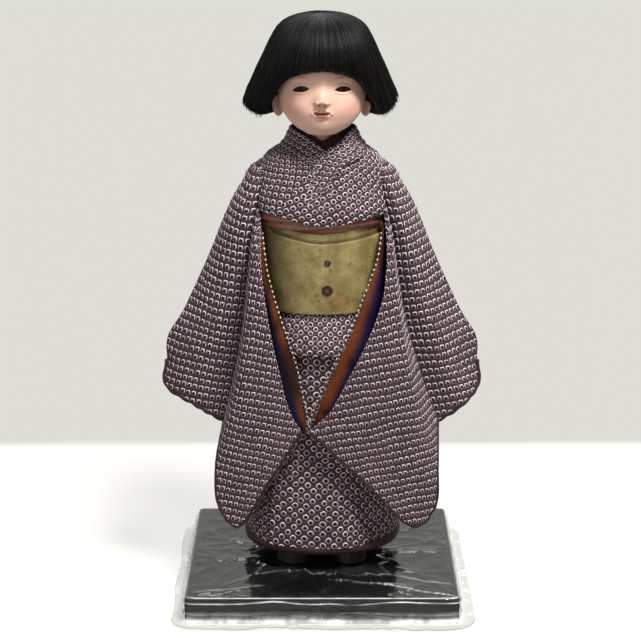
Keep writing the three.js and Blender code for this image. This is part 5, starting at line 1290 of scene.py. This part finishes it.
class DOLL_OT_sash(bpy.types.Operator):
    """Two turns of the sash, the satin scarf above it and the bow behind"""

    bl_idname = "doll.sash"
    bl_label = "Sash"

    def execute(self, context):
        self.turn("inner", OBI_LOW, OBI_HIGH + 5, INNER_TURN_OUT, outer=0)
        self.turn("outer", OBI_LOW - 4.2, OBI_HIGH - 1.8, OUTER_TURN_OUT, outer=1)
        self.scarf(np.array(context.scene.doll_cloth.scarf))
        self.bow_loops()
        self.bow_knot()
        self.bow_tail()
        return {"FINISHED"}

    def turn(self, place, low, high, offset, outer):
        """Turn of the sash: a band round the waist with softly rolled edges, its top edge a little higher at the
        wearer's right side. Flecks, roundels, a faded patch, a leafy patch, painted shade and a painted shadow are a
        tint."""
        columns = 400
        angle = np.linspace(0, TAU, columns + 1)[None]
        share = np.linspace(-0.06, 1.06, 84)[:, None]
        body = np.clip(share, 0, 1)
        right, left = np.clip(-np.cos(angle), 0, 1), np.clip(np.cos(angle), 0, 1)
        outer_tilt = 8.5 * right**1.6 + 4.5 * left**1.6 + 5 * smoothstep(0.72, 0.98, right)
        tilt = outer_tilt if outer else 4.5 * (right**1.6 + left**1.6)
        height = low + (high - low + tilt) * body
        roll = -25 * np.abs(share - body)
        crown = 0.5 * np.sin(np.pi * body) + (0.4 + 1.4 * outer) * (body - 0.4)
        sag = 0.35 * np.sin(3 * angle + 0.5) * body
        points = robe_point(angle, np.full_like(height, SASH_HEIGHT), offset + crown + roll + sag - 0.3)
        points[..., 2] = height + FLOOR - 0.2 * np.abs(roll)
        across = run_length(points, 1)
        front_column = columns * 3 // 4
        wide, tall = across - across[:, front_column:front_column + 1], height - low
        drift_x, drift_z = (1.6 * ripple(wide / 2.6, tall / 2.6, seed) for seed in (21, 22))
        specks = 0.75 * ripple((wide + drift_x) * 0.8, (tall + drift_z) * 0.8, 17)
        specks = specks + 0.4 * ripple((wide + drift_z) * 1.9, (tall + drift_x) * 1.9, 18)
        specks = specks + 0.42 * outer * bell(wide + 1, 8) * bell(tall - 28, 12)
        tint = toned(1.0, smoothstep(0.86, 1.05, specks), [0.5, 0.58, 0.55])
        if outer:
            tint = self.woven(tint, wide, tall)
        else:
            # Painted shadow: a dark band on the inner turn just above the outer turn's top edge, where the outer turn
            # shades it
            tint = toned(tint, bell(height - OBI_HIGH + 1.0 - outer_tilt, 1.2), 0.6)
        piece = make_piece(f"sash_{place}_turn", points, grid_of(points), "figure", "sash_brocade", sash_brocade(),
                           f"obi_{place}_turn", uv=np.stack([wide, tall], -1), colours=tint)
        declare_cloth(piece, 290, 60)

    def woven(self, tint, wide, tall):
        """Outer turn's tint with two dark roundels, a faded patch, a leafy patch and painted shade on the wearer's
        right side.
        """
        for x, z, size in ROUNDELS:
            reach = np.hypot(wide - x, tall - z) + 0.25 * ripple(wide * 1.3, tall * 1.3, 4)
            spot = smoothstep(size + 0.4, size - 0.5, reach) * (1 - 0.25 * smoothstep(size * 0.5, size * 0.2, reach))
            tint = toned(tint, spot, [0.94, 0.985, 0.985])
        faded = bell(wide - 10, 9) * bell(tall - 9, 7) + 0.3 * ripple(wide / 2.2, tall / 2.2, 3)
        tint = toned(tint, smoothstep(0.25, 0.6, faded), [0.1, 0.32, 0.42])
        leafy = bell(wide + 2, 8) * bell(tall - 31, 8) + 0.35 * ripple(wide / 1.8, tall / 1.8, 9) - 0.1
        tint = toned(tint, smoothstep(0.3, 0.7, leafy), [-0.3, -0.32, -0.4])
        # Painted shade: darker towards the wearer's right side
        return toned(tint, smoothstep(-8, -34, wide), 0.35)

    def scarf(self, colour):
        """Scarf: a band of satin with three lengthwise folds that wander, fuller at the wearer's right side."""
        angle, share = circle(300), np.linspace(0, 1, 44)[:, None]
        full = 1 + 0.35 * np.clip(-np.cos(angle), 0, 1)
        height = SCARF_LOW - 4 + (SCARF_HIGH - SCARF_LOW + 6) * share + 1.2 * full * share
        fold = np.cos(TAU * (2.6 * share + 0.25 * np.sin(angle * 2 + 0.4)))
        offset = 4.2 + 1.6 * np.sin(np.pi * share) * full + 0.7 * fold * np.sin(np.pi * share) ** 0.5
        points = robe_point(angle, height, offset)
        # Painted shade: the colour is darker in the troughs of the folds. The second factor is a half all round, since
        # every angle here lies past FRONT + 0.25
        shade = (0.82 + 0.18 * fold) * (1 - 0.5 * smoothstep(FRONT - 0.25, FRONT + 0.25, angle))
        satin = shared("scarf_satin_weave", tinted, roughness=0.4, grain=260, specular_ior_level=0.4)
        piece = make_piece("sash_scarf", points, grid_of(points, ring=True), "figure", "scarf_satin", satin,
                           "obi_scarf", colours=colour * shade[..., None])
        declare_cloth(piece, 270, 18)

    def bow_loops(self):
        """Loops of the bow: flattened tubes that swell from the knot and fold where they are gathered, their far ends
        turned in twice to a hollow."""
        low, high = cad_box("bow_left_loop")
        middle_y, middle_z = (low[1] + high[1]) / 2, (low[2] + high[2]) / 2
        turn, share = circle(96), np.linspace(0, 1, 60)[:, None]
        full = np.interp(share, [0, 0.2, 0.55, 0.85, 1], [0.42, 0.7, 1, 0.96, 0.72])
        pleat = 1 + 0.09 * np.cos(7 * turn) * (1 - share) ** 1.5
        squared = np.sign(np.sin(turn)) * np.abs(np.sin(turn)) ** 0.85
        for side, sign in (("left", 1), ("right", -1)):
            points = surface(sign * (9 + 41 * share - 3.0 * share * np.sin(turn) ** 2),
                             middle_y + 8.0 * full * np.cos(turn) * pleat,
                             middle_z + 2 * share + 23.5 * full * pleat * squared)
            uv = cloth_lengths(points)
            for shrink, depth in (([1, 0.8, 0.9], 9), (0.4, 10)):
                middle = points[-1:].mean(1, keepdims=True)
                inner = middle + (points[-1:] - middle) * shrink - [sign * depth, 0, 0]
                points = np.concatenate([points, inner])
                uv = np.concatenate([uv, uv[-1:] + [0, 9]])
            piece = make_piece(f"bow_{side}_loop_brocade", points, grid_of(points, ring=True), "figure",
                               "sash_brocade", sash_brocade(), f"bow_{side}_loop", uv=uv, colours=WHITE, flip=sign < 0)

    def bow_knot(self):
        """Knot of the bow: a crowned barrel with shallow flutes, closed at both ends."""
        low, high = cad_box("bow_knot")
        half, centre = (high - low) / 2, (high + low) / 2
        turn, share = circle(64), np.linspace(0, 1, 40)[:, None]
        swell = 0.72 + 0.28 * np.sin(np.pi * share) ** 0.5 + 0.03 * np.cos(9 * turn)
        barrel = surface(centre[0] + half[0] * swell * np.cos(turn), centre[1] + half[1] * 0.98 * swell * np.sin(turn),
                         low[2] + (high[2] - low[2]) * share)
        points, faces = capped(barrel, [*centre[:2], low[2]], [*centre[:2], high[2]])
        uv = np.vstack([cloth_lengths(barrel).reshape(-1, 2), np.zeros((2, 2))])
        knot = make_piece("bow_knot_brocade", points, faces, "figure", "sash_brocade", sash_brocade(), "bow_knot",
                          uv=uv, colours=WHITE)

    def bow_tail(self):
        """Tail of the bow: a fan of soft pleats that widens downwards."""
        low, high = cad_box("bow_tail")
        across, share = np.linspace(-0.5, 0.5, 80)[None], np.linspace(0, 1, 100)[:, None]
        width = 12 + (high[0] - low[0] - 12) * smoothstep(0, 0.55, share)
        pleat = (2.0 + 0.6 * share) * np.cos(across * 4 * math.pi)
        points = surface(across * width, (low[1] + high[1]) / 2 + pleat + 0.6 * np.sin(5 * share),
                         high[2] - (high[2] - low[2]) * share)
        tail = make_piece("bow_tail_brocade", points, grid_of(points), "figure", "sash_brocade", sash_brocade(),
                          "bow_tail", uv=cloth_lengths(points), colours=WHITE)
        declare_cloth(tail, 46, 82)


# Head

def ring_sizes(table, rise, softness):
    """Half width, middle and half depth of the head or the wig at a rise over the chin."""
    wide, front, back = np.moveaxis(soft_table(table, rise, softness), -1, 0)
    return wide, (front + back) / 2, (back - front) / 2


class DOLL_OT_head(bpy.types.Operator):
    """Painted head with its ears, neck and glass eyes"""

    bl_idname = "doll.head"
    bl_label = "Head"

    def execute(self, context):
        paint = context.scene.doll_head
        self.skin, self.blush, self.lip, self.brow = (
            np.array(colour) for colour in (paint.skin, paint.blush, paint.lip, paint.brow))
        self.eye_sides = (("left", 1, paint.left_eye_tilt), ("right", -1, paint.right_eye_tilt))
        self.face()
        self.eyes()
        return {"FINISHED"}

    def eye_frame(self, x, rise, side, tilt):
        """Place in one eye's own axes, and the heights of its two lids."""
        dx, dz = side * (x - side * EYE_SPREAD), rise - EYE_RISE
        along = dx * math.cos(tilt) - dz * math.sin(tilt)
        up = dx * math.sin(tilt) + dz * math.cos(tilt)
        room = np.clip(1 - (along / EYE_HALF) ** 2, 0, 1)
        return along, up, 2.5 * room**0.8, -1.4 * room**0.85

    def features(self, x, rise):
        """Hills and hollows of the face towards the front, and its paint: two arrays over places of the face."""
        aside, eye_rise, rise = np.abs(x), rise, rise + 1.0
        nostril = hills(NOSTRILS, x, rise)
        ridge = smoothstep(37, 24.5, rise) ** 1.5 * smoothstep(20.8, 24.2, rise)
        out = hills(FACE_FORMS, x, rise) + 4.1 * ridge * bell(x, 3.9 + 0.8 * smoothstep(34, 24, rise))
        share = np.clip(aside / MOUTH_HALF, 0, 1)
        top = 18.3 + 0.5 * bell(aside - 1.9, 1.3) - 1.6 * share**2 - 0.35 * bell(x, 0.8)
        line = 15.6 - 0.35 * bell(x, 1.1) + 0.3 * share**2
        foot = 13.4 + 2.1 * np.clip(aside / LOWER_LIP_HALF, 0, 1) ** 2
        upper = smoothstep(line - 0.2, line + 0.15, rise) * smoothstep(top + 0.3, top - 0.25, rise)
        lower = smoothstep(foot - 0.5, foot + 0.4, rise) * smoothstep(line + 0.15, line - 0.25, rise)
        lips = upper * (aside < MOUTH_HALF) + 0.75 * lower * (aside < LOWER_LIP_HALF)
        seam = bell(rise - line, 0.4) * smoothstep(6.2, 5.0, aside)
        out = out - 1.6 * nostril - 1.3 * seam
        # Blush tint, with painted shade under the nose and on the forehead up under the fringe
        warm = hills(FACE_BLUSH_AND_SHADE, x, rise) + 0.4 * smoothstep(36, 44, rise)
        tint = between(self.skin, self.blush, np.clip(warm, 0, 1))
        tint = between(tint, self.lip, np.clip(lips, 0, 0.97))
        dark = np.maximum(0.85 * seam, 0.7 * nostril)
        for _, side, tilt in self.eye_sides:
            along, up, high, low = self.eye_frame(x, eye_rise, side, tilt)
            window = smoothstep(EYE_HALF + 1.6, EYE_HALF - 1.6, np.abs(along))
            outside = np.maximum(up - high, low - up) + 3 * np.clip(np.abs(along) - EYE_HALF, 0, None)
            sunk = smoothstep(0.12, -0.3, outside)
            out = out + window * (0.55 * bell(up - high - 1.0, 0.9) + 0.6 * bell(up - low + 0.8, 0.6))
            out = out - 0.2 * window * bell(up - high - 2.7, 0.6) - 2.6 * sunk
            # Painted highlight: a pale rim just under the lower lid
            rim = window * bell(up - low + 0.6, 0.35)
            tint = between(tint, np.array([0.85, 0.62, 0.5]), 0.3 * rim)
            lashes = 0.9 * window * bell(up - high, 0.34) * (up > -0.4)
            lid_crease = 0.12 * window * bell(up - high - 2.5, 0.5)
            arch = 40.4 - 0.03 * (side * x - 14) ** 2
            brow = 0.42 * bell(rise - arch, 1.0) * bell(side * x - 14.5, 6)
            # The sunken skin inside the lids takes the dark colour too: painted shade of the eye's hollow
            dark = np.maximum.reduce([dark, lashes, sunk, lid_crease, brow])
        return out, between(tint, self.brow, np.clip(dark, 0, 1))

    def face(self):
        """Head: level ellipses from the ring table with the face's hills and hollows pushed towards the front, and the
        ears and neck as parts of the same piece."""
        q = np.linspace(-1, 1, 340, endpoint=False)
        angle = FRONT + math.pi * (0.42 * q + 0.58 * q**3)
        rise = np.concatenate([np.linspace(-1, 46, 162), np.linspace(46.6, 74.9, 40)])[:, None] + 0 * angle
        half_wide, middle, half_deep = ring_sizes(HEAD_RINGS, rise, 3.5)
        x, y = half_wide * np.cos(angle), middle + half_deep * np.sin(angle)
        facing = smoothstep(0.05, 0.45, -np.sin(angle))
        out, tint = self.features(x, rise)
        tints = [between(self.skin, tint, facing).reshape(-1, 3), self.skin, self.skin]
        points, faces = capped(surface(x, y - out * facing + SET_BACK, rise + CHIN),
                               [0, SET_BACK - 26, CHIN - 1.4], [0, SET_BACK, CHIN + 75.4])
        for part, part_tint in (self.neck(), self.ear(1), self.ear(-1)):
            faces.append(grid_faces(*part.shape[:2], ring=True, start=len(points)))
            points = np.vstack([points, part.reshape(-1, 3)])
            tints.append(part_tint.reshape(-1, 3))
        paint = tinted("polished_shell_paint", roughness=0.5, grain=45, detail=3, tones=(0.3, 0.7, 0.94, 1.05),
                       bump=(0.05, 0.0002), fine=900, specular_ior_level=0.22)
        make_piece("painted_head", points, faces, "head", "painted_skin", paint, "head", colours=np.vstack(tints))

    def neck(self):
        """Neck: a slightly waisted tube from inside the collar into the head."""
        turn, share = circle(60), np.linspace(0, 1, 24)[:, None]
        radius = 12.6 - 0.8 * np.sin(np.pi * share)
        points = surface(radius * np.cos(turn), radius * np.sin(turn) + SET_BACK, CHIN - 25 + 40 * share)
        return points, np.broadcast_to(self.skin * 0.9, points.shape)

    def ear(self, side):
        """Ear: an upright ellipsoid, thin and leaning out, with a rolled rim and a bowl pressed into its front."""
        turn, v = circle(64), np.linspace(0.02, math.pi - 0.02, 44)[:, None]
        up, wide, deep = np.cos(v), np.sin(v) * np.cos(turn), np.sin(v) * np.sin(turn)
        front = smoothstep(0.1, -0.5, deep)
        bowl = bell(np.hypot(wide + 0.05, (up - 0.1) * 0.8), 0.5) * front
        rim = bell(np.hypot(wide, up) - 0.85, 0.14) * front
        points = surface(side * (31.0 + 4.8 * wide * (1 + 0.15 * up) + 0.8 * deep),
                         2.6 * deep + 2.6 * bowl - 0.5 * rim - 2.4 * wide + SET_BACK - 2, CHIN + 15.5 + 9 * up)
        tint = self.skin * 0.95 + (self.blush - self.skin) * (0.1 + 0.25 * bowl)[..., None]
        return points[:, ::side], tint[:, ::side]

    def eyes(self):
        """Glass eye: a pillow that follows the head behind the lids, domed in front, darker in the middle."""
        glass = tinted("dark_eye_glass", roughness=0.16, grain=800, detail=3, tones=(0.3, 0.7, 0.6, 1.3), bump=None,
                       specular_ior_level=0.1)
        front_rows, back_rows = 22, 11
        reach = np.concatenate([np.linspace(0.02, 1, front_rows), np.linspace(1, 0.02, back_rows + 1)[1:]])[:, None]
        back = (np.arange(front_rows + back_rows) >= front_rows)[:, None]
        turn = circle(60)
        along, up = 6.3 * reach * np.cos(turn), 0.5 + 3.3 * reach * np.sin(turn)
        ring = bell(np.hypot(along / 3.0, (up - 0.5) / 3.0) - 0.8, 0.35)
        tint = np.array([0.007, 0.0025, 0.002]) + np.array([0.03, 0.006, 0.004]) * ring[..., None]
        for name, side, tilt in self.eye_sides:
            x = side * (EYE_SPREAD + along * math.cos(tilt) + up * math.sin(tilt))
            rise = EYE_RISE - along * math.sin(tilt) + up * math.cos(tilt)
            half_wide, middle, half_deep = ring_sizes(HEAD_RINGS, rise, 3.5)
            skull = middle - half_deep * np.sqrt(np.clip(1 - (x / half_wide) ** 2, 0, 1))
            y = skull + np.where(back, 4.6, 2.0 - 0.9 * (1 - reach**2))
            points = surface(x, y + SET_BACK, rise + CHIN)
            make_piece(f"{name}_glass_eye", points, grid_of(points, ring=True), "head", "eye_glass",
                       glass, f"{name}_eye", colours=tint, flip=side > 0)


# Hair

class DOLL_OT_hair(bpy.types.Operator):
    """Bobbed wig with a straight fringe: an undercap and locks laid over it"""

    bl_idname = "doll.hair"
    bl_label = "Hair"

    def execute(self, context):
        self.finish = black_floss("black_silk_floss", context.scene.doll_head.hair[:])
        self.undercap()
        self.locks(context.scene.doll_head.strands)
        return {"FINISHED"}

    def end_rise(self, angle):
        """Rise of the cut ends by the angle from the front: the fringe's arch, the face's sides, then the hem."""
        away = np.degrees(np.abs(from_front(angle)))
        return soft_table(FACE_OPENING, away, 2.5)[..., 0] + 3.6 * smoothstep(0.9, 0.99, np.cos(angle))

    def on_wig(self, angle, share, inset, drop=0.0):
        """Point under the wig's outer face: from the crown to the cut ends by a power of the share, drawn in by inset
        and let down by drop."""
        rise = CROWN - (CROWN - self.end_rise(angle)) * np.clip(share, 0, None) ** 1.7
        half_wide, middle, half_deep = ring_sizes(WIG_RINGS, rise, 0.6)
        half_wide, half_deep = (np.clip(half - inset, 0.2, None) for half in (half_wide, half_deep))
        fall = inset * smoothstep(60, CROWN, rise) + drop
        lean = 1.2 * (1 - rise / CROWN)
        return surface(half_wide * np.cos(angle) - lean, middle + half_deep * np.sin(angle) + SET_BACK,
                       rise + CHIN - fall)

    def undercap(self):
        """Undercap: the wig's face drawn in a little, turned under at the cut ends, where the inner hair hangs lower
        at the sides, and closed by an inner wall."""
        q = np.linspace(-1, 1, 420, endpoint=False)
        angle = (FRONT + math.pi * (0.75 * q + 0.25 * q**3))[None]
        side = smoothstep(0.75, 1.3, np.abs(from_front(angle)))
        hang = (self.end_rise(angle) - HEM_RISE) * side
        share = np.linspace(0, 1, 90)[:, None]
        outer = self.on_wig(angle, share, 0.7 + 0.5 * share**4)
        turn = np.linspace(0, 1, 14)[1:, None]
        under = self.on_wig(angle, 1 + 0 * turn, 1.2 + (1.6 + 23 * side) * turn, hang * smoothstep(0, 1, turn))
        up = np.linspace(0, 1, 20)[1:, None]
        wall = self.on_wig(angle, 1 - 0.5 * up, 2.8 + 23 * side * (1 - 0.6 * up) + 6 * up, hang * (1 - up))
        points = np.concatenate([outer, under, wall])
        rows, columns = points.shape[:2]
        crown = points[0].mean(0) + [0, 0, 0.2]
        faces = [grid_faces(rows, columns, ring=True), fan(np.arange(columns)[::-1], rows * columns)]
        make_piece("hair_undercap", np.vstack([points.reshape(-1, 3), crown]), faces, "head", "black_hair", self.finish,
                   "hair_bob", flip=True)

    def locks(self, count):
        """Locks: thin three-sided tubes from the crown to the cut ends, in two coats, with a slight wander, ragged
        ends and a fine point."""
        rng = np.random.default_rng(8)
        q = rng.uniform(-1, 1, count)
        angle = FRONT + math.pi * (0.85 * q + 0.15 * q**3)
        front = np.abs(from_front(angle)) < FRINGE_HALF
        share = np.linspace(0.0, 1, LOCK_STEPS)[None]
        spokes = circle(3).T + math.pi / 2
        for name, chosen, stands_for in (("hair_fringe_locks", front, "hair_fringe"), ("hair_bob_locks", ~front, None)):
            turn = angle[chosen][:, None]
            each = turn.shape
            ragged = rng.normal(0, 0.012, each) * np.where(np.abs(np.cos(turn)) > 0.6, 0.9, 0.5)
            start = rng.uniform(0.0, 0.05, each)
            way = start + (1.0 + ragged - start) * share**0.95
            wander = rng.normal(0, 0.012, each) * np.sin(np.pi * share) + rng.normal(0, 0.008, each) * share
            inset = rng.uniform(0.0, 0.75, each) + rng.normal(0, 0.25, each) * share
            inset = inset - 0.8 * smoothstep(0.93, 1.0, way) * rng.uniform(-1, 1, each)
            path = self.on_wig(turn + wander, way, inset)
            along = unit(np.gradient(path, axis=1))
            across = unit(np.cross(along, path - [0, SET_BACK, CHIN + 30]))
            up = np.cross(across, along)
            girth = rng.uniform(0.3, 0.55, each) * (0.55 + 0.45 * np.sin(np.pi * np.clip(share, 0.12, 0.9)))
            girth = girth * np.where(share > 0.97, 0.35, 1)
            ring = np.cos(spokes) * across[:, :, None] * 1.25 + np.sin(spokes) * up[:, :, None] * 0.8
            points = path[:, :, None] + ring * girth[..., None, None]
            corners = 3 * LOCK_STEPS
            caps = np.array([[0, 1, 2], [corners - 1, corners - 2, corners - 3]])
            starts = (np.arange(len(turn)) * corners)[:, None, None]
            faces = [(grid_faces(LOCK_STEPS, 3, ring=True) + starts).reshape(-1, 4), (caps + starts).reshape(-1, 3)]
            make_piece(name, points, faces, "head", "black_hair", self.finish, stands_for)


# Stage

class DOLL_OT_stage(bpy.types.Operator):
    """Pale floor, soft lamps, background and the camera"""

    bl_idname = "doll.stage"
    bl_label = "Stage"

    def execute(self, context):
        stage = context.scene.doll_stage
        context.scene.view_settings.view_transform = "Standard"
        self.floor(stage)
        self.lamps(context.scene)
        self.world(context.scene, stage)
        self.camera(context.scene, stage)
        return {"FINISHED"}

    def floor(self, stage):
        """Floor: a wide disc of cloth, paler where the stand is and toned down behind it."""
        turn, reach = circle(96), FLOOR_REACHES[:, None]
        points = surface(reach * np.cos(turn), reach * np.sin(turn), 0 * turn)
        rows, columns = points.shape[:2]
        faces = [grid_faces(rows, columns, ring=True), fan(np.arange(columns)[::-1], rows * columns)]
        finish, tree, base = shader("pale_floor_cloth", roughness=0.9, specular_ior_level=0.1)
        place = object_place(tree)
        reach_out = maths(tree, "SUBTRACT", vectors(tree, "LENGTH", place), 0.36)
        depth = maths(tree, "MAXIMUM", node(tree, "ShaderNodeSeparateXYZ", place).outputs[1], reach_out)
        line = maths(tree, "MULTIPLY_ADD", noise(tree, place, 2.2), 0.03, depth)
        behind = band(tree, line, 0.275, 0.3, 0, 1)
        tree.links.new(mixed(tree, behind, stage.floor[:], stage.backdrop[:]), base.inputs["Base Color"])
        bumped(tree, base, noise(tree, place, 6), 0.2, 0.004)
        near = blended(tree, 0.65, base, node(tree, "ShaderNodeEmission", (1, 0.995, 0.965, 1), 1.0))
        far = blended(tree, behind, near, node(tree, "ShaderNodeEmission", (*stage.backdrop, 1), 1.0))
        soft = node(tree, "ShaderNodeLightPath").outputs["Is Diffuse Ray"]
        show(tree, blended(tree, soft, far, node(tree, "ShaderNodeBsdfDiffuse", (0.3, 0.3, 0.29, 1))))
        floor = make_piece("floor_cloth", np.vstack([points.reshape(-1, 3), [0, 0, 0]]), faces, None, None, finish,
                           flip=True)

    def lamps(self, scene):
        """Square lamps round the doll."""
        for name, (place, size, power) in LAMPS.items():
            lamp = bpy.data.lights.new(name, "AREA")
            lamp.energy = power
            lamp.size = size
            thing = bpy.data.objects.new(name, lamp)
            thing.location = place
            thing.rotation_euler = (LAMP_AIM - Vector(place)).to_track_quat("-Z", "Y").to_euler()
            scene.collection.objects.link(thing)

    def world(self, scene, stage):
        """Background tone for the camera, gloss and clear film; a plain even light for the rest."""
        scene.world = bpy.data.worlds.new("Studio")
        scene.world.use_nodes = True
        tree = scene.world.node_tree
        tree.nodes.clear()
        path = node(tree, "ShaderNodeLightPath")
        seen = maths(tree, "MAXIMUM", path.outputs["Is Camera Ray"],
                     maths(tree, "MAXIMUM", path.outputs["Is Glossy Ray"], path.outputs["Is Transmission Ray"]))
        light = node(tree, "ShaderNodeBackground", (0.97, 0.97, 1.0, 1), 0.1)
        shown = node(tree, "ShaderNodeBackground", (*stage.backdrop, 1), 1.0)
        node(tree, "ShaderNodeOutputWorld", blended(tree, seen, light, shown).outputs[0])

    def camera(self, scene, stage):
        """Camera in front of the doll's middle, looking down."""
        eye = bpy.data.cameras.new("Camera")
        eye.lens = stage.lens
        eye.sensor_width = SENSOR_WIDTH
        eye.shift_x = PICTURE_SHIFT
        scene.camera = bpy.data.objects.new("Camera", eye)
        scene.camera.location = (0, -stage.eye_distance, stage.eye_height)
        scene.camera.rotation_euler = (math.pi / 2 - stage.pitch, 0, 0)
        scene.collection.objects.link(scene.camera)


class DOLL_PT_panel(bpy.types.Panel):
    """Lists the pieces of the doll and their settings"""

    bl_idname = "DOLL_PT_panel"
    bl_label = "Doll"
    bl_space_type = "VIEW_3D"
    bl_region_type = "UI"
    bl_category = "Doll"

    def draw(self, context):
        """One button for each operator, then the settings."""
        for operator in OPERATORS:
            self.layout.operator(operator.bl_idname)
        for group, kind in GROUPS.items():
            for name in kind.__annotations__:
                self.layout.prop(getattr(context.scene, group), name)


GROUPS = {"doll_cloth": DollCloth, "doll_head": DollHead, "doll_stage": DollStage}
OPERATORS = [DOLL_OT_stage, DOLL_OT_stand, DOLL_OT_underdress, DOLL_OT_robe, DOLL_OT_sleeves, DOLL_OT_sash,
             DOLL_OT_head, DOLL_OT_hair]
CLASSES = [*GROUPS.values(), *OPERATORS, DOLL_PT_panel]


def register():
    """Adds the classes and the scene's settings."""
    for kind in CLASSES:
        bpy.utils.register_class(kind)
    for name, kind in GROUPS.items():
        setattr(bpy.types.Scene, name, bpy.props.PointerProperty(type=kind))


def unregister():
    """Takes the settings and the classes away again."""
    for name in GROUPS:
        delattr(bpy.types.Scene, name)
    for kind in reversed(CLASSES):
        bpy.utils.unregister_class(kind)


def main():
    """Makes the stage and every piece."""
    register()
    bpy.ops.doll.stage()
    bpy.ops.doll.stand()
    bpy.ops.doll.underdress()
    bpy.ops.doll.robe()
    bpy.ops.doll.sleeves()
    bpy.ops.doll.sash()
    bpy.ops.doll.head()
    bpy.ops.doll.hair()


if __name__ == "__main__":
    main()
